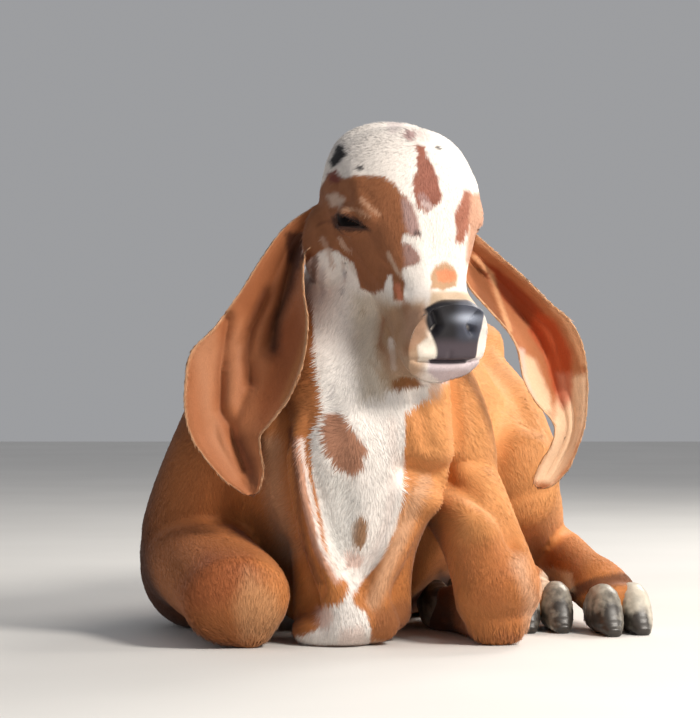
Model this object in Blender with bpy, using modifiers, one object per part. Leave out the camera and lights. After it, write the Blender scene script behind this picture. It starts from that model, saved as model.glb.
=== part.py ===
"""A zebu calf of the Gir breed, about two months old, lying on its brisket with its head up.

The calf faces -Y, its left side is +X and the floor is z = 0. The flesh is one form, made of
lofts along the bones that a voxel remesh fuses, and is then parted into the named nodes by
thin cuts. Ears, eyes, claws and tail are made on their own and cut back to what they grow from.
Every length is in metres.
"""

import math

import bmesh
import bpy
import numpy as np
from mathutils import Matrix, Vector

GAP = 0.0003
FINE_VOXEL = 0.0034
BODY_VOXEL = 0.007
HEAD_TRIANGLES = 2200
BODY_TRIANGLES = 2450
EAR_TRIANGLES = 580

# The head's own frame: its origin is the middle of the skull, f runs down the face, l to the
# calf's left and u up through the forehead.
SKULL = Vector((0.049, 0.035, 0.455))
HEAD_YAW = math.radians(30)
HEAD_PITCH = math.radians(45)

# Trunk, front to back: middle of the section, then its half width, and its reach up and down.
TRUNK = (
    ((-0.008, 0.030, 0.160), 0.062, 0.095, 0.155),
    ((-0.016, 0.080, 0.190), 0.112, 0.140, 0.192),
    ((-0.014, 0.150, 0.200), 0.136, 0.170, 0.204),
    ((0.004, 0.240, 0.192), 0.145, 0.164, 0.198),
    ((0.028, 0.340, 0.182), 0.158, 0.164, 0.190),
    ((0.048, 0.430, 0.182), 0.148, 0.164, 0.188),
    ((0.066, 0.510, 0.194), 0.118, 0.156, 0.194),
    ((0.080, 0.575, 0.202), 0.096, 0.138, 0.170),
    ((0.088, 0.628, 0.212), 0.068, 0.098, 0.130),
)
HUMP = ((-0.010, 0.175, 0.350), (0.036, 0.072, 0.046))
HIP_BONES = ((0.076, 0.490, 0.296), 0.072, (0.034, 0.050, 0.034))
PIN_BONES = ((0.092, 0.632, 0.250), 0.040, (0.024, 0.036, 0.032))

# Neck, bottom to top: middle, half width, reach to the front and to the back.
NECK = (
    ((-0.014, 0.130, 0.160), 0.100, 0.118, 0.070),
    ((-0.012, 0.104, 0.225), 0.098, 0.098, 0.112),
    ((-0.002, 0.084, 0.285), 0.082, 0.074, 0.122),
    ((0.014, 0.072, 0.345), 0.070, 0.060, 0.108),
    ((0.027, 0.066, 0.400), 0.060, 0.060, 0.084),
    ((0.034, 0.064, 0.448), 0.050, 0.052, 0.056),
)

# Dewlap, throat to floor: middle, half thickness, reach forward and back.
DEWLAP = (
    ((0.010, 0.014, 0.285), 0.010, 0.012, 0.030),
    ((-0.030, 0.004, 0.250), 0.012, 0.016, 0.040),
    ((-0.052, -0.002, 0.212), 0.013, 0.018, 0.040),
    ((-0.050, -0.008, 0.165), 0.013, 0.020, 0.040),
    ((-0.042, -0.010, 0.125), 0.014, 0.020, 0.040),
    ((-0.028, -0.014, 0.086), 0.016, 0.020, 0.040),
    ((-0.010, -0.018, 0.050), 0.022, 0.020, 0.040),
    ((0.000, -0.016, 0.020), 0.034, 0.022, 0.040),
)

# The fold of skin from the left armpit to the brisket, in the same order.
ARMPIT_FOLD = (
    ((0.078, 0.050, 0.172), 0.016, 0.018, 0.040),
    ((0.062, 0.026, 0.134), 0.017, 0.020, 0.040),
    ((0.044, 0.008, 0.096), 0.017, 0.022, 0.040),
    ((0.024, -0.004, 0.056), 0.018, 0.022, 0.040),
    ((0.024, 0.002, 0.020), 0.028, 0.022, 0.040),
)

# The rounded front of throat and breast that the folds hang from, in the same order.
BREAST = (
    ((0.048, 0.044, 0.325), 0.048, 0.036, 0.050),
    ((0.040, 0.036, 0.275), 0.066, 0.044, 0.060),
    ((0.022, 0.034, 0.220), 0.088, 0.050, 0.060),
    ((0.010, 0.034, 0.160), 0.086, 0.052, 0.060),
    ((0.004, 0.034, 0.105), 0.068, 0.048, 0.060),
    ((0.002, 0.036, 0.060), 0.062, 0.042, 0.050),
    ((0.002, 0.040, 0.022), 0.064, 0.038, 0.050),
)
THROAT = ((0.052, 0.022, 0.262), (0.030, 0.030, 0.026))
FLANK = ((-0.160, 0.205, 0.066), (0.066, 0.095, 0.072))
BRISKET = ((-0.014, 0.014, 0.014), (0.046, 0.044, 0.026))
EAR_BASES = (
    ((-0.020, 0.030, 0.402), (0.029, 0.026, 0.046)),
    ((0.094, 0.092, 0.410), (0.021, 0.022, 0.036)),
)

# Shoulder blade, shoulder joint and elbow on each side: middle, half width, front, back.
SHOULDER_RIGHT = (
    ((-0.062, 0.185, 0.330), 0.034, 0.040, 0.050),
    ((-0.108, 0.140, 0.258), 0.046, 0.056, 0.066),
    ((-0.138, 0.112, 0.185), 0.052, 0.058, 0.066),
    ((-0.162, 0.128, 0.112), 0.056, 0.058, 0.062),
    ((-0.172, 0.150, 0.076), 0.050, 0.052, 0.056),
)
SHOULDER_LEFT = (
    ((0.040, 0.195, 0.330), 0.034, 0.040, 0.050),
    ((0.084, 0.160, 0.265), 0.044, 0.056, 0.066),
    ((0.108, 0.130, 0.205), 0.044, 0.054, 0.064),
    ((0.116, 0.150, 0.150), 0.042, 0.048, 0.056),
)

# Fore legs, elbow to knee and then folded back under: middle, half width, up, down.
FOREARM_RIGHT = (
    ((-0.172, 0.160, 0.084), 0.052, 0.058, 0.066),
    ((-0.158, 0.105, 0.080), 0.053, 0.052, 0.060),
    ((-0.138, 0.048, 0.070), 0.056, 0.046, 0.056),
    ((-0.121, 0.000, 0.060), 0.058, 0.044, 0.050),
    ((-0.112, -0.036, 0.050), 0.056, 0.046, 0.052),
)
CANNON_FORE_RIGHT = (
    ((-0.106, -0.022, 0.038), 0.040, 0.034, 0.042),
    ((-0.110, 0.028, 0.028), 0.028, 0.026, 0.032),
    ((-0.116, 0.078, 0.026), 0.024, 0.024, 0.030),
    ((-0.121, 0.122, 0.027), 0.028, 0.026, 0.031),
    ((-0.124, 0.148, 0.027), 0.025, 0.022, 0.030),
)
FOREARM_LEFT = (
    ((0.108, 0.165, 0.158), 0.046, 0.050, 0.050),
    ((0.116, 0.115, 0.142), 0.046, 0.048, 0.048),
    ((0.130, 0.065, 0.112), 0.043, 0.044, 0.044),
    ((0.142, 0.025, 0.078), 0.044, 0.042, 0.044),
    ((0.149, -0.002, 0.050), 0.046, 0.044, 0.050),
)
CANNON_FORE_LEFT = (
    ((0.148, 0.004, 0.036), 0.038, 0.032, 0.040),
    ((0.139, 0.050, 0.028), 0.027, 0.026, 0.032),
    ((0.128, 0.098, 0.026), 0.024, 0.024, 0.030),
    ((0.118, 0.140, 0.027), 0.028, 0.026, 0.031),
    ((0.112, 0.166, 0.027), 0.025, 0.022, 0.030),
)

# Hind legs: thigh from hip to stifle, shank from stifle to hock, cannon from hock to pastern.
THIGH_LEFT = (
    ((0.094, 0.545, 0.225), 0.070, 0.095, 0.110),
    ((0.128, 0.460, 0.200), 0.078, 0.110, 0.125),
    ((0.158, 0.370, 0.178), 0.068, 0.098, 0.110),
    ((0.176, 0.290, 0.165), 0.056, 0.070, 0.085),
    ((0.184, 0.240, 0.160), 0.046, 0.050, 0.055),
)
SHANK_LEFT = (
    ((0.184, 0.245, 0.145), 0.044, 0.048, 0.050),
    ((0.196, 0.300, 0.110), 0.040, 0.046, 0.048),
    ((0.206, 0.355, 0.075), 0.034, 0.040, 0.042),
    ((0.211, 0.400, 0.052), 0.030, 0.036, 0.050),
)
CANNON_HIND_LEFT = (
    ((0.212, 0.405, 0.074), 0.031, 0.038, 0.064),
    ((0.222, 0.350, 0.070), 0.029, 0.037, 0.046),
    ((0.238, 0.285, 0.062), 0.027, 0.034, 0.038),
    ((0.252, 0.220, 0.051), 0.026, 0.032, 0.032),
    ((0.263, 0.178, 0.045), 0.031, 0.031, 0.032),
    ((0.273, 0.146, 0.040), 0.031, 0.025, 0.030),
)
THIGH_RIGHT = (
    ((0.050, 0.545, 0.190), 0.072, 0.100, 0.120),
    ((-0.010, 0.460, 0.145), 0.082, 0.100, 0.120),
    ((-0.064, 0.380, 0.110), 0.074, 0.084, 0.100),
    ((-0.098, 0.310, 0.084), 0.058, 0.066, 0.084),
)
CANNON_HIND_RIGHT = (
    ((0.076, 0.360, 0.040), 0.028, 0.034, 0.044),
    ((0.112, 0.306, 0.036), 0.025, 0.030, 0.040),
    ((0.146, 0.258, 0.038), 0.024, 0.027, 0.036),
    ((0.174, 0.224, 0.044), 0.029, 0.030, 0.036),
    ((0.190, 0.198, 0.041), 0.029, 0.026, 0.032),
)

# Head, nape to muzzle, in its own frame: f and u of the middle, half width, up, down.
HEAD = (
    (-0.048, 0.004, 0.062, 0.045, 0.064),
    (-0.024, 0.002, 0.0735, 0.064, 0.078),
    (0.008, -0.002, 0.0755, 0.072, 0.088),
    (0.038, -0.006, 0.073, 0.064, 0.086),
    (0.068, -0.016, 0.060, 0.050, 0.074),
    (0.098, -0.028, 0.047, 0.036, 0.061),
    (0.126, -0.040, 0.042, 0.038, 0.050),
    (0.154, -0.044, 0.044, 0.043, 0.045),
    (0.178, -0.046, 0.0455, 0.044, 0.042),
    (0.200, -0.050, 0.040, 0.036, 0.036),
)
ORBIT = ((0.034, 0.0545, 0.006), (0.036, 0.026, 0.029))
EYE = (0.0354, 0.0612, -0.0072)
EYE_AXIS = (0.36, 0.88, 0.30)
EYE_RADIUS = 0.019
LID = 0.0022

# The opening between the lids, outer corner to inner and back, along and across the slit.
EYE_OPENING = (
    (-0.0202, -0.0005),
    (-0.0175, 0.0036),
    (-0.0125, 0.0062),
    (-0.0070, 0.0072),
    (-0.0010, 0.0067),
    (0.0060, 0.0047),
    (0.0125, 0.0018),
    (0.0170, -0.0012),
    (0.0205, -0.0042),
    (0.0165, -0.0056),
    (0.0120, -0.0062),
    (0.0060, -0.0066),
    (0.0, -0.0068),
    (-0.0070, -0.0066),
    (-0.0130, -0.0056),
    (-0.0178, -0.0034),
)

# The head's region for parting, along f: half width, and the lower side's u.
HEAD_REGION = (
    (-0.085, 0.088, 0.119),
    (0.015, 0.088, -0.096),
    (0.060, 0.088, -0.100),
    (0.092, 0.060, -0.103),
    (0.240, 0.060, -0.111),
)
NECK_REGION = ((-0.14, 0.08), (0.20, 0.42), (0.20, 0.62), (-0.14, 0.62))

# Modelling strokes on the head, mirrored left to right: the line in f, l and u, the axes its
# distance is measured in, how far the surface moves out, and how wide the stroke is.
HEAD_STROKES = (
    (((0.012, 0.068, 0.028), (0.036, 0.074, 0.026), (0.062, 0.066, 0.016)), "flu", 0.0035, 0.010),
    (((0.030, 0.074, 0.018), (0.052, 0.076, 0.012)), "flu", -0.0015, 0.004),
    (((0.064, 0.062, -0.004), (0.088, 0.052, -0.016)), "flu", -0.0030, 0.009),
    (((0.058, 0.068, -0.020), (0.090, 0.056, -0.032), (0.124, 0.045, -0.040)), "flu", 0.0030, 0.010),
    (((0.060, 0.030, 0.034), (0.100, 0.022, 0.008), (0.150, 0.018, -0.002)), "flu", 0.0018, 0.010),
    (((0.085, 0.046, -0.020), (0.125, 0.040, -0.018)), "flu", -0.0025, 0.010),
    (((0.030, 0.058, -0.056), (0.060, 0.052, -0.062)), "flu", 0.0050, 0.024),
    (((0.100, 0.044, -0.066), (0.125, 0.038, -0.072)), "flu", -0.0022, 0.010),
    (((-0.012, 0.0, 0.072), (0.006, 0.0, 0.072)), "flu", 0.0030, 0.030),
)
MUZZLE_STROKES = (
    (((0.168, 0.0255, -0.010), (0.174, 0.0190, -0.024)), "flu", 0.0030, 0.0085),
    (((0.166, 0.0250, -0.011), (0.172, 0.0185, -0.021), (0.178, 0.0235, -0.026)), "flu", -0.0100, 0.0042),
    (((0.158, 0.0330, -0.016), (0.166, 0.0340, -0.026)), "flu", 0.0018, 0.0070),
    (((0.215, 0.0, -0.0545), (0.190, 0.0, -0.0555), (0.176, 0.0, -0.0590)), "fu", -0.0046, 0.0028),
    (((0.174, 0.0, -0.0596), (0.160, 0.0, -0.0650), (0.146, 0.0, -0.0700)), "fu", -0.0030, 0.0030),
    (((0.200, 0.0, -0.0470), (0.172, 0.0, -0.0500), (0.150, 0.0, -0.0570)), "fu", 0.0022, 0.0065),
    (((0.195, 0.0, -0.0640), (0.176, 0.0, -0.0680), (0.160, 0.0, -0.0730)), "fu", 0.0018, 0.0060),
    (((0.186, 0.0, -0.046), (0.192, 0.0, -0.054)), "flu", -0.0012, 0.0035),
    (((0.168, 0.0, -0.088), (0.180, 0.0, -0.086)), "flu", 0.0030, 0.0140),
    (((0.150, 0.0, -0.090), (0.156, 0.024, -0.086)), "flu", -0.0025, 0.0070),
)
LID_STROKES = (
    (((-0.019, 0.0075), (-0.008, 0.0125), (0.006, 0.0120), (0.018, 0.0050)), -0.0013, 0.0018),
    (((-0.018, 0.0125), (-0.004, 0.0190), (0.012, 0.0165)), -0.0012, 0.0022),
    (((-0.018, -0.0085), (0.000, -0.0115), (0.017, -0.0075)), -0.0012, 0.0020),
    (((-0.012, -0.0155), (0.004, -0.0175), (0.018, -0.0130)), -0.0010, 0.0022),
    (((0.016, -0.0022), (0.026, -0.0060)), -0.0030, 0.0022),
    (((-0.016, -0.0005), (-0.023, -0.0020)), -0.0024, 0.0020),
)

# Modelling strokes on the body: the line in world axes, how far out, how wide.
BODY_STROKES = (
    (((0.196, 0.262, 0.222), (0.172, 0.335, 0.268), (0.150, 0.410, 0.306)), -0.0080, 0.018),
    (((0.150, 0.350, 0.300), (0.158, 0.392, 0.300)), -0.0120, 0.040),
    (((0.150, 0.585, 0.250), (0.170, 0.540, 0.165), (0.180, 0.480, 0.090)), -0.0050, 0.015),
    (((0.108, 0.232, 0.316), (0.132, 0.212, 0.250), (0.140, 0.202, 0.185)), -0.0070, 0.018),
    (((-0.098, 0.222, 0.322), (-0.140, 0.205, 0.255), (-0.160, 0.208, 0.180)), -0.0070, 0.018),
    (((-0.105, 0.345, 0.290), (-0.098, 0.400, 0.296)), -0.0120, 0.040),
    (((-0.130, 0.330, 0.215), (-0.105, 0.410, 0.265)), -0.0060, 0.018),
    (((0.030, 0.540, 0.285), (0.006, 0.560, 0.190)), -0.0050, 0.016),
    (((0.088, 0.110, 0.330), (0.100, 0.098, 0.270), (0.098, 0.080, 0.215)), -0.0060, 0.014),
    (((-0.066, 0.110, 0.330), (-0.092, 0.086, 0.270), (-0.098, 0.066, 0.200)), -0.0060, 0.014),
)

# Creases and ridges on what faces forward: the line in x and z, how far out, how wide, and the
# y that they stay in front of.
FRONT_STROKES = (
    (((0.060, 0.176), (0.094, 0.166), (0.124, 0.156), (0.146, 0.142), (0.170, 0.110)), -0.017, 0.012, 0.16),
    (((0.086, 0.142), (0.114, 0.132), (0.142, 0.112)), 0.007, 0.016, 0.14),
    (((0.072, 0.212), (0.110, 0.198)), 0.006, 0.022, 0.16),
    (((-0.070, 0.235), (-0.066, 0.190), (-0.060, 0.150), (-0.046, 0.100), (-0.034, 0.060)), -0.008, 0.009, 0.08),
    (((-0.088, 0.220), (-0.082, 0.170), (-0.066, 0.110)), 0.004, 0.008, 0.10),
    (((-0.018, 0.240), (-0.010, 0.190), (-0.004, 0.130), (0.002, 0.080)), -0.003, 0.012, 0.06),
    (((0.066, 0.252), (0.074, 0.225), (0.080, 0.200)), -0.005, 0.007, 0.10),
    (((0.098, 0.262), (0.106, 0.230), (0.108, 0.200)), -0.004, 0.008, 0.12),
    (((0.040, 0.160), (0.030, 0.115), (0.014, 0.070)), -0.004, 0.009, 0.05),
)

TAIL = (
    ((0.094, 0.640, 0.268), 0.024),
    ((0.098, 0.684, 0.250), 0.019),
    ((0.094, 0.706, 0.190), 0.016),
    ((0.082, 0.712, 0.120), 0.014),
    ((0.060, 0.708, 0.060), 0.012),
    ((0.022, 0.694, 0.022), 0.011),
    ((-0.024, 0.664, 0.011), 0.0105),
    ((-0.066, 0.618, 0.010), 0.0100),
    ((-0.098, 0.565, 0.010), 0.0095),
)

# Ears, head to tip, as they hang: the two margins, then how far the sheet bellies back between
# them. The first margin is the one toward the front of the ear at its root.
EAR_RIGHT = (
    ((-0.010, 0.026, 0.404), (-0.008, 0.046, 0.462), 0.012),
    ((-0.040, 0.006, 0.398), (-0.032, 0.040, 0.445), 0.022),
    ((-0.046, -0.012, 0.383), (-0.065, 0.030, 0.420), 0.030),
    ((-0.046, -0.022, 0.355), (-0.088, 0.025, 0.390), 0.036),
    ((-0.042, -0.026, 0.327), (-0.110, 0.020, 0.355), 0.040),
    ((-0.043, -0.026, 0.300), (-0.135, 0.015, 0.320), 0.038),
    ((-0.049, -0.024, 0.273), (-0.160, 0.010, 0.293), 0.032),
    ((-0.060, -0.020, 0.247), (-0.166, 0.005, 0.260), 0.026),
    ((-0.077, -0.016, 0.224), (-0.165, 0.000, 0.230), 0.020),
    ((-0.088, -0.012, 0.211), (-0.159, -0.002, 0.208), 0.016),
    ((-0.089, -0.010, 0.197), (-0.146, -0.004, 0.188), 0.013),
    ((-0.086, -0.010, 0.177), (-0.128, -0.006, 0.167), 0.010),
    ((-0.089, -0.010, 0.159), (-0.112, -0.008, 0.155), 0.005),
)
EAR_LEFT = (
    ((0.082, 0.088, 0.398), (0.080, 0.112, 0.452), 0.012),
    ((0.112, 0.080, 0.378), (0.124, 0.108, 0.420), 0.022),
    ((0.123, 0.070, 0.358), (0.154, 0.104, 0.394), 0.030),
    ((0.140, 0.064, 0.338), (0.182, 0.100, 0.369), 0.035),
    ((0.160, 0.063, 0.315), (0.208, 0.096, 0.343), 0.035),
    ((0.171, 0.064, 0.295), (0.227, 0.093, 0.326), 0.032),
    ((0.177, 0.066, 0.266), (0.240, 0.090, 0.300), 0.028),
    ((0.189, 0.070, 0.243), (0.245, 0.088, 0.266), 0.024),
    ((0.205, 0.074, 0.225), (0.244, 0.086, 0.233), 0.018),
    ((0.210, 0.076, 0.212), (0.240, 0.085, 0.210), 0.014),
    ((0.205, 0.078, 0.195), (0.233, 0.085, 0.190), 0.012),
    ((0.196, 0.080, 0.180), (0.2235, 0.085, 0.170), 0.009),
    ((0.1885, 0.081, 0.162), (0.209, 0.084, 0.156), 0.005),
)
EAR_THICKNESS = 0.0042

# Claws, heel to toe along the foot: distance, half width, then the heights of top and sole.
CLAW = (
    (-0.032, 0.0115, 0.028, 0.003),
    (-0.022, 0.0145, 0.040, 0.000),
    (-0.008, 0.0155, 0.050, -0.001),
    (0.006, 0.0158, 0.050, -0.001),
    (0.020, 0.0150, 0.036, -0.001),
    (0.032, 0.0125, 0.021, -0.001),
    (0.041, 0.0085, 0.010, -0.001),
)

# Feet: where the coronet meets the floor's plane, the way the toes point, how far the two
# claws stand apart, how much the outer is set back, and whether the sole faces up.
FEET = {
    "hind_left": ((0.280, 0.125, 0.0), (0.20, -0.980, 0.0), 0.0172, 0.010, False),
    "hind_right": ((0.199, 0.156, 0.0), (0.12, -0.993, 0.0), 0.0172, 0.004, False),
    "fore_left": ((0.106, 0.188, 0.050), (-0.20, 0.980, 0.0), 0.0165, 0.003, True),
    "fore_right": ((-0.128, 0.172, 0.050), (-0.12, 0.993, 0.0), 0.0165, 0.003, True),
}


def empty_scene():
    """Removes whatever the file opened with."""
    for obj in list(bpy.data.objects):
        bpy.data.objects.remove(obj, do_unlink=True)


def head_matrix():
    """The head's frame: its columns are f, l and u in the calf's own axes."""
    cy, sy = math.cos(HEAD_YAW), math.sin(HEAD_YAW)
    cp, sp = math.cos(HEAD_PITCH), math.sin(HEAD_PITCH)
    f = Vector((sy * cp, -cy * cp, -sp))
    left = Vector((cy, sy, 0))
    u = Vector((sy * sp, -cy * sp, cp))
    matrix = Matrix((f, left, u)).transposed().to_4x4()
    matrix.translation = SKULL
    return matrix


def through(rows, steps):
    """Rows of numbers with a Catmull-Rom curve's points between them."""
    rows = np.array(rows, float)
    padded = np.vstack((2 * rows[0] - rows[1], rows, 2 * rows[-1] - rows[-2]))
    out = []
    for i in range(len(rows) - 1):
        a, b, c, d = padded[i : i + 4]
        for t in np.arange(steps) / steps:
            out.append(
                0.5
                * (
                    2 * b
                    + (c - a) * t
                    + (2 * a - 5 * b + 4 * c - d) * t**2
                    + (3 * b - 3 * c + d - a) * t**3
                )
            )
    out.append(rows[-1])
    return np.array(out)


def flat_rows(stations):
    """Stations as plain rows of six numbers: middle, half width, up, down."""
    rows = []
    for station in stations:
        sizes = list(station[1:])
        if len(sizes) == 1:
            sizes = sizes * 3
        rows.append([*station[0], *sizes])
    return rows


def loft(name, stations, up=(0, 0, 1), sides=24, steps=4, caps=(0.03, 0.03), grow=0.0, square=2.0, domes=(72, 48, 24)):
    """A closed tube of unlike oval sections along a smooth spine, with domed ends."""
    rows = through(flat_rows(stations), steps)
    middles, sizes = rows[:, :3], rows[:, 3:] + grow
    tangents = np.gradient(middles, axis=0)
    tangents /= np.linalg.norm(tangents, axis=1)[:, None]
    angles = np.arange(sides) * 2 * math.pi / sides
    cos, sin = np.cos(angles), np.sin(angles)
    cos = np.sign(cos) * np.abs(cos) ** (2 / square)
    sin = np.sign(sin) * np.abs(sin) ** (2 / square)
    rings = []

    def ring(middle, tangent, size, scale):
        across = np.cross(tangent, up)
        across /= np.linalg.norm(across)
        lift = np.cross(across, tangent)
        tall = np.where(sin > 0, size[1], size[2])
        return (
            middle
            + scale * size[0] * cos[:, None] * across
            + scale * (tall * sin)[:, None] * lift
        )

    dome = [math.radians(a) for a in domes]
    for a in dome:
        start = middles[0] - tangents[0] * (caps[0] + grow) * math.sin(a)
        rings.append(ring(start, tangents[0], sizes[0], math.cos(a)))
    for middle, tangent, size in zip(middles, tangents, sizes):
        rings.append(ring(middle, tangent, size, 1.0))
    for a in reversed(dome):
        end = middles[-1] + tangents[-1] * (caps[1] + grow) * math.sin(a)
        rings.append(ring(end, tangents[-1], sizes[-1], math.cos(a)))
    tips = (
        middles[0] - tangents[0] * (caps[0] + grow),
        middles[-1] + tangents[-1] * (caps[1] + grow),
    )
    return skin_rings(name, rings, tips)


def skin_rings(name, rings, tips):
    """A mesh object over a row of rings, closed by a fan to a tip at each end."""
    mesh = bmesh.new()
    loops = [[mesh.verts.new(p) for p in points] for points in rings]
    first, last = mesh.verts.new(tips[0]), mesh.verts.new(tips[1])
    count = len(loops[0])
    for low, high in zip(loops, loops[1:]):
        for i in range(count):
            j = (i + 1) % count
            mesh.faces.new((low[i], low[j], high[j]))
            mesh.faces.new((low[i], high[j], high[i]))
    for i in range(count):
        j = (i + 1) % count
        mesh.faces.new((first, loops[0][j], loops[0][i]))
        mesh.faces.new((last, loops[-1][i], loops[-1][j]))
    bmesh.ops.recalc_face_normals(mesh, faces=mesh.faces)
    return new_object(name, mesh)


def new_object(name, mesh):
    """A linked object from a bmesh, which is freed."""
    data = bpy.data.meshes.new(name)
    mesh.to_mesh(data)
    mesh.free()
    obj = bpy.data.objects.new(name, data)
    bpy.context.scene.collection.objects.link(obj)
    return obj


def ball(name, middle, radii, segments=32, rings=16):
    """An ellipsoid along the axes."""
    mesh = bmesh.new()
    bmesh.ops.create_uvsphere(mesh, u_segments=segments, v_segments=rings, radius=1)
    bmesh.ops.scale(mesh, vec=radii, verts=mesh.verts)
    bmesh.ops.translate(mesh, vec=middle, verts=mesh.verts)
    return new_object(name, mesh)


def transform(obj, matrix):
    """Moves an object's points, so that its own matrix stays plain."""
    obj.data.transform(matrix)
    return obj


def settle(obj):
    """Applies the object's modifiers."""
    graph = bpy.context.evaluated_depsgraph_get()
    data = bpy.data.meshes.new_from_object(obj.evaluated_get(graph))
    obj.modifiers.clear()
    obj.data = data
    return obj


def copy_of(obj, name):
    """A linked copy with its own mesh."""
    twin = bpy.data.objects.new(name, obj.data.copy())
    bpy.context.scene.collection.objects.link(twin)
    return twin


def discard(*objects):
    """Removes helpers."""
    for obj in objects:
        bpy.data.objects.remove(obj, do_unlink=True)


def join(name, objects):
    """One object that holds the meshes of several."""
    mesh = bmesh.new()
    for obj in objects:
        mesh.from_mesh(obj.data)
    discard(*objects)
    return new_object(name, mesh)


def fuse(obj, voxel, smoothing):
    """Fuses overlapping shells into one skin and rounds the creases between them."""
    remesh = obj.modifiers.new("fuse", "REMESH")
    remesh.mode = "VOXEL"
    remesh.voxel_size = voxel
    smooth = obj.modifiers.new("round", "SMOOTH")
    smooth.factor = 0.5
    smooth.iterations = smoothing
    return settle(obj)


def thin_out(obj, triangles):
    """Lowers the triangle count, keeping the detail where the form bends."""
    obj.data.calc_loop_triangles()
    now = len(obj.data.loop_triangles)
    decimate = obj.modifiers.new("thin", "DECIMATE")
    decimate.ratio = min(1.0, triangles / now)
    return settle(obj)


def volume_of(obj):
    """The volume inside an object's skin, or None if the skin isn't closed."""
    mesh = bmesh.new()
    mesh.from_mesh(obj.data)
    closed = all(len(edge.link_faces) == 2 for edge in mesh.edges)
    volume = mesh.calc_volume()
    mesh.free()
    return volume if closed else None


def boolean(obj, other, operation, solvers=("EXACT", "MANIFOLD"), untangle=False):
    """Applies one Boolean with a closed mesh, by the first solver whose result can be right."""
    before, second = volume_of(obj) or 0.0, volume_of(other) or 0.0
    low, high = {
        "DIFFERENCE": (before - second, before),
        "INTERSECT": (1e-9, min(before, second)),
        "UNION": (max(before, second), before + second),
    }[operation]
    source = obj.data
    for solver in solvers:
        obj.data = source
        change = obj.modifiers.new(operation.lower(), "BOOLEAN")
        change.object = other
        change.operation = operation
        change.solver = solver
        change.use_self = untangle
        tidy = obj.modifiers.new("triangles", "TRIANGULATE")
        tidy.keep_custom_normals = False
        settle(obj)
        volume = volume_of(obj)
        if volume is not None and 0.99999 * low <= volume <= 1.00001 * high:
            break
    return obj


def largest(obj):
    """Keeps only the largest closed surface of an object."""
    mesh = bmesh.new()
    mesh.from_mesh(obj.data)
    left = set(mesh.faces)
    best, best_volume = [], -1.0
    while left:
        seed = left.pop()
        group, queue = [seed], [seed]
        while queue:
            for edge in queue.pop().edges:
                for face in edge.link_faces:
                    if face in left:
                        left.remove(face)
                        group.append(face)
                        queue.append(face)
        volume = 0.0
        for face in group:
            corners = [v.co for v in face.verts]
            for b, c in zip(corners[1:], corners[2:]):
                volume += corners[0].dot(b.cross(c)) / 6
        if abs(volume) > best_volume:
            best, best_volume = group, abs(volume)
    keep = set(best)
    drop = [face for face in mesh.faces if face not in keep]
    bmesh.ops.delete(mesh, geom=drop, context="FACES")
    mesh.to_mesh(obj.data)
    mesh.free()
    return obj


def bone_points(name, pair):
    """The two knobs of bone on either side of the spine."""
    (x, y, z), apart, radii = pair
    return [ball(name, (x + side * apart, y, z), radii) for side in (-1, 1)]


def trunk_form():
    """Trunk, neck, shoulders and haunches, fused and well rounded."""
    forward = (0, -1, 0)
    pieces = [
        loft("trunk", TRUNK, caps=(0.045, 0.035), sides=32),
        ball("hump", *HUMP),
        ball("flank", *FLANK),
        *bone_points("hip", HIP_BONES),
        *bone_points("pin", PIN_BONES),
        loft("neck", NECK, up=forward, caps=(0.03, 0.02), sides=32),
        loft("breast", BREAST, up=forward, caps=(0.03, 0.02), sides=32),
        loft("shoulder_r", SHOULDER_RIGHT, up=forward, caps=(0.03, 0.04)),
        loft("shoulder_l", SHOULDER_LEFT, up=forward, caps=(0.03, 0.04)),
        loft("thigh_l", THIGH_LEFT, caps=(0.05, 0.035)),
        loft("thigh_r", THIGH_RIGHT, caps=(0.05, 0.045)),
    ]
    return fuse(join("trunk_form", pieces), BODY_VOXEL, 10)


def leg_forms():
    """The lower legs, folded as they lie."""
    return [
        loft("forearm_r", FOREARM_RIGHT, caps=(0.02, 0.026)),
        loft("forearm_l", FOREARM_LEFT, caps=(0.02, 0.026)),
        loft("cannon_fr", CANNON_FORE_RIGHT, caps=(0.02, 0.012)),
        loft("cannon_fl", CANNON_FORE_LEFT, caps=(0.02, 0.012)),
        loft("shank_l", SHANK_LEFT, caps=(0.03, 0.026)),
        loft("cannon_hl", CANNON_HIND_LEFT, caps=(0.024, 0.012)),
        loft("cannon_hr", CANNON_HIND_RIGHT, caps=(0.024, 0.012)),
    ]


def head_form(matrix):
    """Skull, face and jaw before the finer modelling."""
    stations = [((f, 0, u), w, up, down) for f, u, w, up, down in HEAD]
    face = loft("face", stations, caps=(0.026, 0.014), sides=36, square=2.3)
    pieces = [face]
    for side in (-1, 1):
        (f, left, u), radii = ORBIT
        pieces.append(ball("orbit", (f, side * left, u), radii))
    for piece in pieces:
        transform(piece, matrix)
    return pieces


def flesh():
    """The whole calf in one skin, without ears, eyes, claws and tail."""
    forward = (0, -1, 0)
    pieces = [trunk_form(), *leg_forms(), *head_form(head_matrix())]
    pieces.append(loft("dewlap", DEWLAP, up=forward, caps=(0.02, 0.02)))
    pieces.append(loft("armpit_fold", ARMPIT_FOLD, up=forward, caps=(0.02, 0.02)))
    pieces.append(ball("throat", *THROAT))
    pieces.append(ball("brisket", *BRISKET))
    pieces += [ball("ear_base", *base) for base in EAR_BASES]
    for foot in FEET:
        pieces += pastern("pastern", foot)
    return fuse(join("flesh", pieces), FINE_VOXEL, 6)


def coords(obj):
    """The object's points as rows."""
    points = np.empty(len(obj.data.vertices) * 3)
    obj.data.vertices.foreach_get("co", points)
    return points.reshape(-1, 3)


def normals_of(obj):
    """The object's point normals as rows."""
    normals = np.empty(len(obj.data.vertices) * 3)
    obj.data.vertices.foreach_get("normal", normals)
    return normals.reshape(-1, 3)


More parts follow.
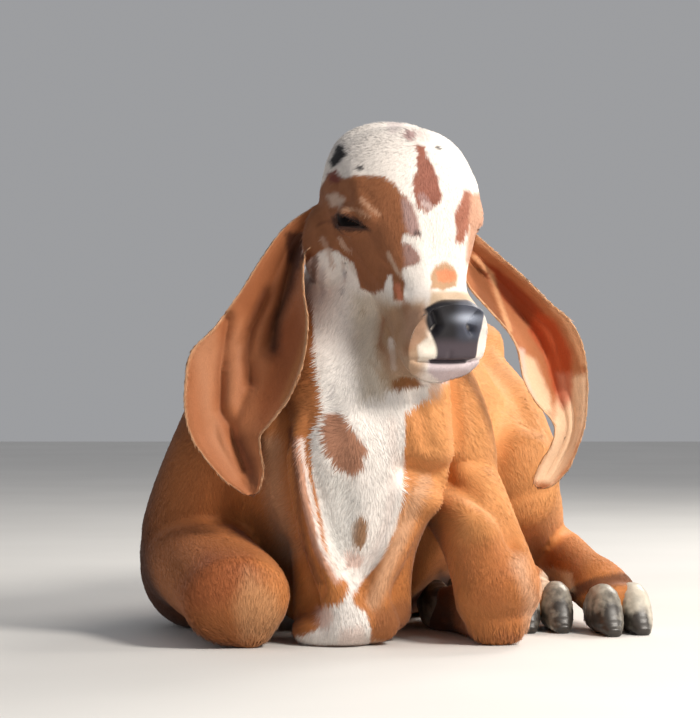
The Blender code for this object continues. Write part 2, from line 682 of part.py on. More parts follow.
def put(obj, points):
    """Writes the points back."""
    obj.data.vertices.foreach_set("co", points.ravel())
    obj.data.update()
    return obj


def distance(points, line):
    """How far each point is from a line of straight pieces."""
    best = np.full(len(points), np.inf)
    for a, b in zip(line, line[1:]):
        ab = b - a
        along = np.clip((points - a) @ ab / (ab @ ab), 0, 1)
        best = np.minimum(best, np.linalg.norm(points - a - along[:, None] * ab, axis=1))
    return best


def stroke(points, normals, line, axes, height, radius):
    """Moves the points near the line along their normals."""
    pick = ["flu".index(axis) for axis in axes]
    folded = np.column_stack((points[:, 0], np.abs(points[:, 1]), points[:, 2]))
    gap = distance(folded[:, pick], np.array(line, float)[:, pick])
    return points + normals * (height * np.exp(-((gap / radius) ** 2)))[:, None]


def smoothstep(values, low, high):
    """0 at low and 1 at high, eased."""
    t = np.clip((values - low) / (high - low), 0, 1)
    return t * t * (3 - 2 * t)


def eye_frame(side):
    """An eye's frame in the head's: along the slit, up across it, and out through the pupil."""
    f, left, u = EYE_AXIS
    out = np.array((f, side * left, u))
    out /= np.linalg.norm(out)
    along = np.array((0.83, 0.0, 0.56))
    along -= out * (along @ out)
    along /= np.linalg.norm(along)
    up = np.cross(along, out) * side
    middle = np.array((EYE[0], side * EYE[1], EYE[2]))
    return middle, along, up, out


def shape_lids(points, side):
    """Draws the skin over the eyeball, with the creases of the lids."""
    middle, along, up, out = eye_frame(side)
    away = points - middle
    reach = np.linalg.norm(away, axis=1)
    ray = away / reach[:, None]
    cap = smoothstep(ray @ out, math.cos(math.radians(82)), math.cos(math.radians(52)))
    cap *= smoothstep(reach, 0.045, 0.030)
    target = EYE_RADIUS + LID
    flat = np.column_stack((away @ along, away @ up))
    for line, height, radius in LID_STROKES:
        gap = distance(flat, np.array(line, float))
        target = target + height * np.exp(-((gap / radius) ** 2))
    return middle + ray * (reach + (target - reach) * cap)[:, None]


def shape_muzzle(points):
    """Cuts the end of the muzzle back to the plane of nose and lips."""
    f, left, u = points.T
    limit = np.minimum(0.163 + 0.467 * (-u - 0.002), 0.189) - 2.2 * left**2
    limit = limit - 26.0 * np.clip(-0.072 - u, 0, None) ** 2
    excess = f - limit
    near = (f > 0.13) & (np.abs(left) < 0.062) & (u > -0.106)
    pull = 0.5 * (excess + np.sqrt(excess**2 + 0.0035**2))
    moved = points.copy()
    moved[:, 0] = np.where(near, f - pull, f)
    return moved


def refine(obj, matrix):
    """Halves the faces of the head."""
    inverse = matrix.inverted()
    mesh = bmesh.new()
    mesh.from_mesh(obj.data)
    edges = set()
    for face in mesh.faces:
        f, left, u = inverse @ face.calc_center_median()
        if f > -0.02 and abs(left) < 0.095 and u > -0.112:
            edges.update(face.edges)
    bmesh.ops.subdivide_edges(mesh, edges=list(edges), cuts=1, use_grid_fill=True)
    bmesh.ops.triangulate(mesh, faces=[face for face in mesh.faces if len(face.verts) > 4])
    mesh.to_mesh(obj.data)
    mesh.free()
    return obj


def model_head(obj, matrix):
    """The finer forms of the head: brows, lids, nose, nostrils and lips."""
    inverse = np.array(matrix.inverted())
    turn = inverse[:3, :3]
    points = coords(obj) @ turn.T + inverse[:3, 3]
    normals = normals_of(obj) @ turn.T
    for line, axes, height, radius in HEAD_STROKES:
        points = stroke(points, normals, line, axes, height, radius)
    points = shape_muzzle(points)
    put(obj, (points - inverse[:3, 3]) @ turn)
    normals = normals_of(obj) @ turn.T
    for line, axes, height, radius in MUZZLE_STROKES:
        points = stroke(points, normals, line, axes, height, radius)
    for side in (-1, 1):
        points = shape_lids(points, side)
    return put(obj, (points - inverse[:3, 3]) @ turn)


def model_body(obj):
    """The hollows between the large forms of the body."""
    points, normals = coords(obj), normals_of(obj)
    for line, height, radius in BODY_STROKES:
        gap = distance(points, np.array(line, float))
        points = points + normals * (height * np.exp(-((gap / radius) ** 2)))[:, None]
    for line, height, radius, deep in FRONT_STROKES:
        gap = distance(points[:, [0, 2]], np.array(line, float))
        facing = smoothstep(-normals[:, 1], 0.0, 0.4) * smoothstep(points[:, 1], deep, deep - 0.03)
        points = points + normals * (height * np.exp(-((gap / radius) ** 2)) * facing)[:, None]
    return put(obj, points)


def eyeball(name, side, matrix, grow=0.0):
    """An eye, with the cornea standing out a little."""
    middle, along, up, out = eye_frame(side)
    obj = ball(name, (0, 0, 0), (1, 1, 1), segments=14, rings=9)
    points = coords(obj)
    radius = EYE_RADIUS + grow + 0.0012 * np.exp(-((np.arccos(np.clip(points[:, 2], -1, 1)) / 0.5) ** 2))
    points = points * radius[:, None]
    put(obj, middle + points[:, :1] * along - points[:, 1:2] * up * side + points[:, 2:] * out)
    return transform(obj, matrix)


def eye_slit(side, matrix):
    """What the lids leave open over an eye."""
    middle, along, up, out = eye_frame(side)
    rings = []
    for depth in (0.008, 0.016, 0.024, 0.034):
        ring = []
        for i in range(16):
            a, b = EYE_OPENING[i]
            ring.append(middle + out * depth + along * a + up * b)
        rings.append(ring)
    tips = (middle + out * 0.0079, middle + out * 0.0341)
    return transform(skin_rings("slit", rings, tips), matrix)


def head_region(matrix, grow=0.0):
    """The block of space that parts the head from the neck."""
    rings = []
    for i, (f, wide, low) in enumerate(HEAD_REGION):
        f += -grow if i < 2 else grow if i == len(HEAD_REGION) - 1 else 0.0
        wide += grow
        low -= grow
        high = 0.13 + grow
        rings.append([(f, -wide, low), (f, wide, low), (f, wide, high), (f, -wide, high)])
    tips = ((rings[0][0][0] - 1e-4, 0, 0.124), (rings[-1][0][0] + 1e-4, 0, 0))
    return transform(skin_rings("head_region", rings, tips), matrix)


def slab(name, outline, reach, grow=0.0):
    """A prism across the calf from an outline in y and z."""
    middle = np.mean(outline, axis=0)
    mesh = bmesh.new()
    rows = []
    for x in (-reach, reach):
        row = []
        for y, z in outline:
            away = np.array((y, z)) - middle
            away = np.array((y, z)) + away / np.linalg.norm(away) * grow * 2
            row.append(mesh.verts.new((x, *away)))
        rows.append(row)
    mesh.faces.new(rows[0])
    mesh.faces.new(rows[1])
    for i in range(len(outline)):
        j = (i + 1) % len(outline)
        mesh.faces.new((rows[0][i], rows[0][j], rows[1][j], rows[1][i]))
    bmesh.ops.recalc_face_normals(mesh, faces=mesh.faces)
    return new_object(name, mesh)


def box(name, low, high):
    """A block along the axes."""
    mesh = bmesh.new()
    bmesh.ops.create_cube(mesh, size=1)
    size = [b - a for a, b in zip(low, high)]
    bmesh.ops.scale(mesh, vec=size, verts=mesh.verts)
    bmesh.ops.translate(mesh, vec=[(a + b) / 2 for a, b in zip(low, high)], verts=mesh.verts)
    return new_object(name, mesh)


def swell(obj, distance):
    """Moves the surface out along its normals."""
    return put(obj, coords(obj) + normals_of(obj) * distance)


def plug(obj, middle, reach):
    """A piece of a solid round a point, a hair larger, to cut what grows from there."""
    piece = boolean(copy_of(obj, "plug"), near := ball("near", middle, (reach,) * 3), "INTERSECT")
    discard(near)
    return swell(largest(piece), 0.0005)


def ear(name, stations):
    """A hanging ear: a sheet bellied backwards between its two margins."""
    rows = through([[*a, *b, depth] for a, b, depth in stations], 2)
    across = np.linspace(0, 1, 17)
    grid = []
    for i, row in enumerate(rows):
        first, second, depth = row[:3], row[3:6], row[6]
        t = i / (len(rows) - 1)
        skew = 0.62 + 0.38 * t
        bend = np.sin(math.pi * across**skew)
        fold = 0.0040 * math.sin(math.pi * min(1.0, t * 1.1)) ** 0.7
        ripple = -fold * np.exp(-(((across - 0.42) / 0.07) ** 2))
        ripple -= 0.8 * fold * np.exp(-(((across - 0.66) / 0.07) ** 2))
        middle = first + (second - first) * across[:, None]
        middle = middle + np.array((0, 1.0, 0)) * (depth * bend - ripple)[:, None]
        grid.append(middle)
    grid = np.array(grid)
    du = np.gradient(grid, axis=0)
    dv = np.gradient(grid, axis=1)
    normal = np.cross(du, dv)
    normal /= np.linalg.norm(normal, axis=2)[:, :, None]
    edge = np.minimum(across, 1 - across)
    thick = EAR_THICKNESS * (0.55 + 0.45 * smoothstep(edge, 0.0, 0.15))
    half = normal * (thick / 2)[None, :, None]
    front, back = grid + half, grid - half
    rings = [np.vstack((a, b[::-1])) for a, b in zip(front, back)]
    mesh = bmesh.new()
    loops = [[mesh.verts.new(p) for p in ring] for ring in rings]
    count, wide = len(loops[0]), len(across)
    for low, high in zip(loops, loops[1:]):
        for i in range(count):
            j = (i + 1) % count
            mesh.faces.new((low[i], low[j], high[j]))
            mesh.faces.new((low[i], high[j], high[i]))
    for loop in (loops[0], loops[-1]):
        for i in range(wide - 1):
            mesh.faces.new((loop[i], loop[i + 1], loop[count - 2 - i]))
            mesh.faces.new((loop[i], loop[count - 2 - i], loop[count - 1 - i]))
    bmesh.ops.recalc_face_normals(mesh, faces=mesh.faces)
    return new_object(name, mesh)


def claw(name, foot, which, grow=0.0):
    """One of a foot's two claws, 1 the outer and -1 the inner, or 0 for the cleft between."""
    origin, toward, apart, back, upside = FEET[foot]
    toward = np.array(toward) / np.linalg.norm(toward)
    side = 1 if foot.endswith("left") else -1
    lateral = np.cross(toward, (0, 0, 1)) * -1
    if lateral[0] * side < 0:
        lateral = -lateral
    up = np.array((0, 0, -1.0 if upside else 1.0))
    base = np.array(origin) + lateral * which * apart
    if which > 0:
        base = base - toward * back
    stations = []
    for along, half, top, low in CLAW:
        if which == 0:
            along, half, top, low = along - 0.004, 0.0032, top + 0.001, low - 0.001
        middle = base + toward * along + up * (top + low) / 2
        stations.append((middle, half, (top - low) / 2, (top - low) / 2))
    obj = loft(name, stations, caps=(0.004, 0.004), sides=8, steps=1, grow=grow, square=2.5, domes=(45,))
    return obj


def pastern(name, foot):
    """The short flesh between fetlock and claws, with the two dew claws behind it."""
    origin, toward, _, _, upside = FEET[foot]
    toward = np.array(toward) / np.linalg.norm(toward)
    up = np.array((0, 0, -1.0 if upside else 1.0))
    origin = np.array(origin)
    stations = [
        (origin - toward * 0.048 + up * 0.030, 0.026, 0.024, 0.024),
        (origin - toward * 0.026 + up * 0.034, 0.029, 0.020, 0.026),
        (origin - toward * 0.002 + up * 0.038, 0.030, 0.015, 0.024),
    ]
    pieces = [loft(name, stations, caps=(0.012, 0.010), square=2.3)]
    lateral = np.cross(toward, (0, 0, 1))
    for side in (-1, 1):
        middle = origin - toward * 0.046 + up * 0.012 + lateral * side * 0.017
        pieces.append(ball("dewclaw", middle, (0.010, 0.011, 0.012)))
    return pieces


def tail_and_switch():
    """The tail, and the flat locks of its switch fused into one tuft."""
    tail = loft("tail", TAIL, sides=10, steps=2, caps=(0.020, 0.006), domes=(45,))
    end = np.array(TAIL[-1][0])
    ahead = end - np.array(TAIL[-2][0])
    ahead /= np.linalg.norm(ahead)
    across = np.cross((0, 0, 1), ahead)
    core = loft(
        "core",
        [(end + ahead * 0.002, 0.0105), (end + ahead * 0.03, 0.013), (end + ahead * 0.065, 0.008)],
        sides=8,
        steps=1,
        caps=(0.006, 0.02),
        domes=(45,),
    )
    for i in range(9):
        turn = (i - 4) / 4
        lift = 0.5 + 0.5 * math.cos(i * 2.4)
        length = 0.088 + 0.026 * math.cos(i * 1.7)
        stations = []
        for t in (0.0, 0.4, 0.75, 1.0):
            middle = end + ahead * (0.012 + length * t) + across * (
                turn * (0.006 + 0.024 * t**1.5) + 0.004 * math.sin(3 * t + i)
            )
            middle[2] = 0.005 + 0.011 * lift * (1 - t) ** 0.7 + 0.0015
            wide = 0.0062 * (1 - t) ** 0.6 + 0.0012
            stations.append((middle, wide, 0.0030 * (1 - t) + 0.0010, 0.0030 * (1 - t) + 0.0010))
        lock = loft("lock", stations, sides=4, steps=1, caps=(0.004, 0.004), domes=())
        core = boolean(core, lock, "UNION")
        discard(lock)
    core.name = "tail_switch"
    return tail, core


def part_off(body, name, region, cutter):
    """Takes the named node out of the body: region is its space, cutter the same grown by the gap."""
    node = largest(boolean(copy_of(body, name), region, "INTERSECT"))
    body = largest(boolean(body, cutter, "DIFFERENCE"))
    discard(region, cutter)
    return node, body


def leg_regions():
    """The space of each part of the legs, as pairs of name and a function of how far to grow."""

    def tube(stations, extra, caps):
        return lambda grow: loft(
            "region", stations, caps=caps, grow=extra + grow, sides=12, steps=1, domes=(48,)
        )

    return (
        ("cannon_fore_right", tube(CANNON_FORE_RIGHT[1:], 0.004, (0.012, 0.05))),
        ("forearm_right", tube(FOREARM_RIGHT, 0.010, (0.012, 0.03))),
        ("cannon_fore_left", tube(CANNON_FORE_LEFT[1:], 0.004, (0.012, 0.05))),
        ("forearm_left", tube(FOREARM_LEFT, 0.010, (0.012, 0.03))),
        ("cannon_hind_left", tube(CANNON_HIND_LEFT, 0.006, (0.02, 0.05))),
        ("cannon_hind_right", tube(CANNON_HIND_RIGHT, 0.006, (0.02, 0.05))),
        ("shank_left", tube(SHANK_LEFT, 0.010, (0.02, 0.02))),
        ("thigh_left", tube(THIGH_LEFT, 0.014, (0.05, 0.03))),
        ("thigh_right", tube(THIGH_RIGHT, 0.014, (0.05, 0.04))),
    )


def build():
    """Every node of the calf."""
    matrix = head_matrix()
    floor = box("floor", (-1, -1, -0.1), (1, 2, 0))
    form = model_body(flesh())

    fine = model_head(refine(copy_of(form, "head"), matrix), matrix)
    rough = head_region(matrix, 0.012)
    head = boolean(fine, rough, "INTERSECT", ("MANIFOLD",))
    head = thin_out(largest(head), HEAD_TRIANGLES)
    discard(rough)

    rough = head_region(matrix, -0.015)
    body = boolean(form, rough, "DIFFERENCE", ("MANIFOLD",))
    body = thin_out(largest(body), BODY_TRIANGLES)
    discard(rough)

    region, cutter = head_region(matrix), head_region(matrix, GAP)
    head = largest(boolean(head, region, "INTERSECT", untangle=True))
    body = largest(boolean(body, cutter, "DIFFERENCE", untangle=True))
    body = largest(boolean(body, floor, "DIFFERENCE"))
    discard(region, cutter)

    nodes = [head]
    for side, word in ((-1, "right"), (1, "left")):
        eye = eyeball(f"eye_{word}", side, matrix)
        for cutter in (eyeball("socket", side, matrix, GAP), eye_slit(side, matrix)):
            head = boolean(head, cutter, "DIFFERENCE")
            discard(cutter)
        nodes.append(eye)
    head = largest(head)
    head.name = "head"

    for foot in FEET:
        for which in (0, -1, 1):
            cutter = claw("cutter", foot, which, GAP)
            body = boolean(body, cutter, "DIFFERENCE")
            discard(cutter)
        for which, word in ((-1, "inner"), (1, "outer")):
            horn = claw(f"claw_{foot}_{word}", foot, which)
            nodes.append(boolean(horn, floor, "DIFFERENCE"))

    region, cutter = slab("region", NECK_REGION, 0.4), slab("cutter", NECK_REGION, 0.4, GAP)
    neck, body = part_off(body, "neck", region, cutter)
    nodes.append(neck)
    for name, shape in leg_regions():
        node, body = part_off(body, name, shape(0.0), shape(GAP))
        nodes.append(node)
    body.name = "torso"
    nodes.append(body)

    for name, stations, spot in (
        ("ear_right", EAR_RIGHT, (-0.025, 0.030, 0.425)),
        ("ear_left", EAR_LEFT, (0.105, 0.098, 0.425)),
    ):
        sheet = thin_out(ear(name, stations), EAR_TRIANGLES)
        for neighbour in (head, neck):
            cutter = plug(neighbour, spot, 0.075)
            sheet = largest(boolean(sheet, cutter, "DIFFERENCE"))
            discard(cutter)
        nodes.append(sheet)

    tail, switch = tail_and_switch()
    tail = boolean(tail, floor, "DIFFERENCE")
    switch = boolean(switch, floor, "DIFFERENCE")
    cutter = plug(body, (0.094, 0.640, 0.262), 0.075)
    tail = largest(boolean(tail, cutter, "DIFFERENCE"))
    discard(cutter)
    cutter = swell(copy_of(tail, "cutter"), 0.0004)
    switch = largest(boolean(switch, cutter, "DIFFERENCE"))
    discard(cutter, floor)
    nodes += [tail, switch]
    return nodes


def recentre(nodes):
    """Moves everything so that the middle of the whole calf's footprint is the origin."""
    points = np.vstack([coords(node) for node in nodes])
    low, high = points.min(axis=0), points.max(axis=0)
    shift = -np.array(((low[0] + high[0]) / 2, (low[1] + high[1]) / 2, low[2]))
    for node in nodes:
        put(node, coords(node) + shift)


FINISHES = {
    "coat": ((0.45, 0.19, 0.08), 0.85),
    "eye": ((0.02, 0.012, 0.008), 0.08),
    "horn": ((0.10, 0.09, 0.08), 0.45),
    "hair": ((0.12, 0.05, 0.03), 0.8),
}


def slot_of(name):
    """Which finish a node wears."""
    if name.startswith("eye"):
        return "eye"
    if name.startswith("claw"):
        return "horn"
    return "hair" if name == "tail_switch" else "coat"


def finish(nodes):
    """Gathers the nodes in the calf's collection, shades them smooth and gives each its finish."""
    calf = bpy.data.collections.new("gir_calf")
    bpy.context.scene.collection.children.link(calf)
    made = {}
    for slot, (colour, roughness) in FINISHES.items():
        material = bpy.data.materials.new(slot)
        material.use_nodes = True
        shader = material.node_tree.nodes["Principled BSDF"]
        shader.inputs["Base Color"].default_value = (*colour, 1)
        shader.inputs["Roughness"].default_value = roughness
        made[slot] = material
    for node in nodes:
        for collection in list(node.users_collection):
            collection.objects.unlink(node)
        calf.objects.link(node)
        node.data.materials.clear()
        node.data.materials.append(made[slot_of(node.name)])
        node.data.shade_smooth()
        node.data.set_sharp_from_angle(angle=math.radians(50))


def main():
    empty_scene()
    nodes = build()
    recentre(nodes)
    finish(nodes)


main()
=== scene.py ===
"""A Gir calf about two months old, lying on its brisket: skin, coat, eyes, hooves and studio.

The calf is modelled in metres with its nose towards -Y, its left side at +X and the floor at
z = 0. Its flesh is one form of lofts along the bones, fused and then modelled with strokes. The
skin lies under the coat's depth inside that form, and the coat is solid tufts that follow it.
"""

from __future__ import annotations

import logging
import math
from dataclasses import dataclass, field
from enum import Enum

import bmesh
import bpy
import numpy as np
from mathutils import Matrix, Vector
from mathutils.bvhtree import BVHTree

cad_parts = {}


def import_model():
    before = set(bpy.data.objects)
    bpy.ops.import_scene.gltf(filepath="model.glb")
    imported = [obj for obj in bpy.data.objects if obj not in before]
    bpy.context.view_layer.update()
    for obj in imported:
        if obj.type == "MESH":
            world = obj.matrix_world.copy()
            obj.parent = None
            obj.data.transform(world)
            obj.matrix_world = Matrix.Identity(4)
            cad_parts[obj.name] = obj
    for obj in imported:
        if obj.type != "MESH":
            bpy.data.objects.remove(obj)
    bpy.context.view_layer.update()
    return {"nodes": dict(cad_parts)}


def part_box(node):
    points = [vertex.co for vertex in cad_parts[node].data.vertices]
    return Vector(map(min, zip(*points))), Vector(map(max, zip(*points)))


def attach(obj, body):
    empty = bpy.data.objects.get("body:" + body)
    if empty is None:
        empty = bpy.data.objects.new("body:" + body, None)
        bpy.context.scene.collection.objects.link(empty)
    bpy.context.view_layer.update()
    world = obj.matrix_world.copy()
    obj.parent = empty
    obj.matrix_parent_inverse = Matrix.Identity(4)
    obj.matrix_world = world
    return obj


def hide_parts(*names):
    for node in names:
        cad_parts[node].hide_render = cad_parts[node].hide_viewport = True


log = logging.getLogger("gir_calf")

# The photograph's camera: its lens, width, height and horizon in pixels, and where it stands

LENS = 3000
WIDE, TALL = 700, 718
HORIZON = 345
VIEW = (0, -3.0, 0.3)

Point = tuple[float, float, float]
Stations = tuple[tuple, ...]
Line = tuple[tuple[float, ...], ...]
Colour = tuple[float, float, float]


class Side(Enum):
    """The calf's own right and left, by the sign of x."""

    RIGHT = -1
    LEFT = 1

    @property
    def word(self) -> str:
        """The side as it stands in a node's name."""
        return self.name.lower()


class Zone(Enum):
    """The pieces that the coat is made in, by where its tufts are rooted."""

    HEAD = 0
    NECK = 1
    TRUNK = 2
    QUARTERS = 3
    FORE_LEGS = 4
    HIND_LEGS = 5
    EARS = 6
    TAIL = 7


# Measuring and numbers


def smoothstep(values: np.ndarray, low: float, high: float) -> np.ndarray:
    """0 at low and 1 at high, eased."""
    t = np.clip((values - low) / (high - low), 0, 1)
    return t * t * (3 - 2 * t)


def unit(rows: np.ndarray) -> np.ndarray:
    """Rows scaled to length one."""
    return rows / np.maximum(np.linalg.norm(rows, axis=-1, keepdims=True), 1e-9)


def through(rows: np.ndarray | list, steps: int) -> np.ndarray:
    """Puts a Catmull-Rom curve's points between rows of numbers.

    Args:
        rows: The rows that the curve passes through.
        steps: How many points each gap is divided into.

    Returns:
        All the rows, first to last.
    """
    rows = np.array(rows, float)
    padded = np.vstack((2 * rows[0] - rows[1], rows, 2 * rows[-1] - rows[-2]))
    out = []
    for i in range(len(rows) - 1):
        a, b, c, d = padded[i : i + 4]
        for t in np.arange(steps) / steps:
            curve = 2 * b + (c - a) * t + (2 * a - 5 * b + 4 * c - d) * t**2
            out.append(0.5 * (curve + (3 * b - 3 * c + d - a) * t**3))
    out.append(rows[-1])
    return np.array(out)


def mm(*rows: tuple | float | str) -> tuple:
    """Rows of millimetres as metres, with words left as they are."""
    return tuple(mm(*r) if isinstance(r, tuple) else r if isinstance(r, str) else r / 1000 for r in rows)


def distance(points: np.ndarray, line: np.ndarray) -> np.ndarray:
    """How far each point is from a line of straight pieces.

    Args:
        points: Rows of two or three numbers.
        line: The line's corners, in the same axes.

    Returns:
        One distance for each point.
    """
    best = np.full(len(points), np.inf)
    for a, b in zip(line, line[1:]):
        ab = b - a
        along = np.clip((points - a) @ ab / (ab @ ab), 0, 1)
        best = np.minimum(best, np.linalg.norm(points - a - along[:, None] * ab, axis=1))
    return best


def within(points: np.ndarray, outline: np.ndarray) -> np.ndarray:
    """How far each flat point is inside a closed outline, negative outside.

    Args:
        points: Rows of two numbers.
        outline: The outline's corners.

    Returns:
        One signed distance for each point.
    """
    closed = np.vstack((outline, outline[:1]))
    gap = distance(points, closed)
    inside = np.zeros(len(points), bool)
    x, y = points.T
    for (x0, y0), (x1, y1) in zip(closed, closed[1:]):
        if y0 != y1:
            crosses = (y0 > y) != (y1 > y)
            inside ^= crosses & (x < (x1 - x0) * (y - y0) / (y1 - y0) + x0)
    return np.where(inside, gap, -gap)


def mottle(points: np.ndarray, size: float, seed: int, octaves: int = 2) -> np.ndarray:
    """Soft random values that change over a given size.

    Args:
        points: Rows of three numbers, in metres.
        size: The width of one blotch, in metres.
        seed: Which pattern to draw.
        octaves: How many finer patterns are added, each at half the size.

    Returns:
        One value for each point, about -1 to 1.
    """
    total = np.zeros(len(points))
    weight = 0.0
    for octave in range(octaves):
        q = points / (size / 2**octave) + 31.7 * seed + 7.3 * octave
        cell = np.floor(q)
        t = q - cell
        t = t * t * (3 - 2 * t)
        value = np.zeros(len(points))
        for corner in range(8):
            pick = np.array([(corner >> k) & 1 for k in range(3)], float)
            mix = np.prod(np.where(pick, t, 1 - t), axis=1)
            dots = (cell + pick) @ np.array((127.1, 311.7, 74.7))
            random = np.sin(dots) * 43758.5453
            value += mix * (random - np.floor(random))
        total += (2 * value - 1) * 0.6**octave
        weight += 0.6**octave
    return total / weight


# Making and changing meshes


def new_object(name: str, mesh: bmesh.types.BMesh) -> bpy.types.Object:
    """A linked object from a bmesh, which is freed."""
    data = bpy.data.meshes.new(name)
    mesh.to_mesh(data)
    mesh.free()
    obj = bpy.data.objects.new(name, data)
    bpy.context.scene.collection.objects.link(obj)
    return obj


def mesh_from(name: str, points: np.ndarray, corners: np.ndarray) -> bpy.types.Object:
    """A linked object from arrays.

    Args:
        name: The object's name.
        points: Its points, one row each.
        corners: Its faces, one row of three or four indices each.

    Returns:
        The object.
    """
    count, size = corners.shape
    data = bpy.data.meshes.new(name)
    data.vertices.add(len(points))
    data.vertices.foreach_set("co", np.ascontiguousarray(points, np.float32).ravel())
    data.loops.add(count * size)
    data.loops.foreach_set("vertex_index", np.ascontiguousarray(corners, np.int32).ravel())
    data.polygons.add(count)
    data.polygons.foreach_set("loop_start", np.arange(0, count * size, size, dtype=np.int32))
    data.update(calc_edges=True)
    obj = bpy.data.objects.new(name, data)
    bpy.context.scene.collection.objects.link(obj)
    return obj


def skin_rings(name: str, rings: list, tips: tuple) -> bpy.types.Object:
    """A mesh object over a row of rings, closed by a fan to a tip at each end."""
    mesh = bmesh.new()
    loops = [[mesh.verts.new(p) for p in points] for points in rings]
    first, last = mesh.verts.new(tips[0]), mesh.verts.new(tips[1])
    count = len(loops[0])
    for low, high in zip(loops, loops[1:]):
        for i in range(count):
            j = (i + 1) % count
            mesh.faces.new((low[i], low[j], high[j]))
            mesh.faces.new((low[i], high[j], high[i]))
    for i in range(count):
        j = (i + 1) % count
        mesh.faces.new((first, loops[0][j], loops[0][i]))
        mesh.faces.new((last, loops[-1][i], loops[-1][j]))
    bmesh.ops.recalc_face_normals(mesh, faces=mesh.faces)
    return new_object(name, mesh)


def ball(name: str, middle: Point, radii: Point, segments: int = 32, rings: int = 16) -> bpy.types.Object:
    """An ellipsoid along the axes."""
    mesh = bmesh.new()
    bmesh.ops.create_uvsphere(mesh, u_segments=segments, v_segments=rings, radius=1)
    bmesh.ops.scale(mesh, vec=radii, verts=mesh.verts)
    bmesh.ops.translate(mesh, vec=middle, verts=mesh.verts)
    return new_object(name, mesh)


def discard(*objects: bpy.types.Object) -> None:
    """Removes helpers."""
    for obj in objects:
        bpy.data.objects.remove(obj, do_unlink=True)


def join(name: str, objects: list[bpy.types.Object]) -> bpy.types.Object:
    """One object that holds the meshes of several."""
    mesh = bmesh.new()
    for obj in objects:
        mesh.from_mesh(obj.data)
    discard(*objects)
    return new_object(name, mesh)


def settle(obj: bpy.types.Object) -> bpy.types.Object:
    """Applies the object's modifiers."""
    graph = bpy.context.evaluated_depsgraph_get()
    data = bpy.data.meshes.new_from_object(obj.evaluated_get(graph))
    obj.modifiers.clear()
    obj.data = data
    return obj


def fuse(obj: bpy.types.Object, voxel: float, smoothing: int) -> bpy.types.Object:
    """Fuses overlapping shells into one surface and rounds the creases between them."""
    remesh = obj.modifiers.new("fuse", "REMESH")
    remesh.mode = "VOXEL"
    remesh.voxel_size = voxel
    smooth = obj.modifiers.new("round", "SMOOTH")
    smooth.factor = 0.5
    smooth.iterations = smoothing
    return settle(obj)


def boolean(obj: bpy.types.Object, other: bpy.types.Object, operation: str) -> bpy.types.Object:
    """Applies one Boolean with a closed mesh, which is removed."""
    change = obj.modifiers.new(operation.lower(), "BOOLEAN")
    change.object = other
    change.operation = operation
    change.solver = "MANIFOLD"
    settle(obj)
    discard(other)
    return obj


def coords(obj: bpy.types.Object) -> np.ndarray:
    """The object's points as rows."""
    points = np.empty(len(obj.data.vertices) * 3)
    obj.data.vertices.foreach_get("co", points)
    return points.reshape(-1, 3)


def normals_of(obj: bpy.types.Object) -> np.ndarray:
    """The object's point normals as rows."""
    normals = np.empty(len(obj.data.vertices) * 3)
    obj.data.vertices.foreach_get("normal", normals)
    return normals.reshape(-1, 3)


def put(obj: bpy.types.Object, points: np.ndarray) -> bpy.types.Object:
    """Writes the points back."""
    obj.data.vertices.foreach_set("co", np.ascontiguousarray(points, np.float32).ravel())
    obj.data.update()
    return obj


def relax(obj: bpy.types.Object, share: np.ndarray, times: int) -> bpy.types.Object:
    """Smooths an object's points towards their neighbours.

    Args:
        obj: The object.
        share: How much of each step a point takes, 0 to 1.
        times: How many steps.

    Returns:
        The object.
    """
    ends = np.empty(len(obj.data.edges) * 2, np.int32)
    obj.data.edges.foreach_get("vertices", ends)
    a, b = ends.reshape(-1, 2).T
    points = coords(obj)
    count = np.bincount(np.concatenate((a, b)), minlength=len(points))
    for _ in range(times):
        mean = np.empty_like(points)
        for k in range(3):
            mean[:, k] = np.bincount(a, points[b, k], len(points))
            mean[:, k] += np.bincount(b, points[a, k], len(points))
        mean /= np.maximum(count, 1)[:, None]
        points += (mean - points) * (0.6 * share)[:, None]
    return put(obj, points)


def paint(obj: bpy.types.Object, name: str, values: np.ndarray) -> None:
    """Stores one number, vector or colour for each point of an object."""
    kinds = {1: ("FLOAT", "value"), 3: ("FLOAT_VECTOR", "vector"), 4: ("FLOAT_COLOR", "color")}
    values = np.asarray(values, np.float32)
    kind, key = kinds[1 if values.ndim == 1 else values.shape[1]]
    layer = obj.data.attributes.new(name, kind, "POINT")
    layer.data.foreach_set(key, values.ravel())


# The flesh


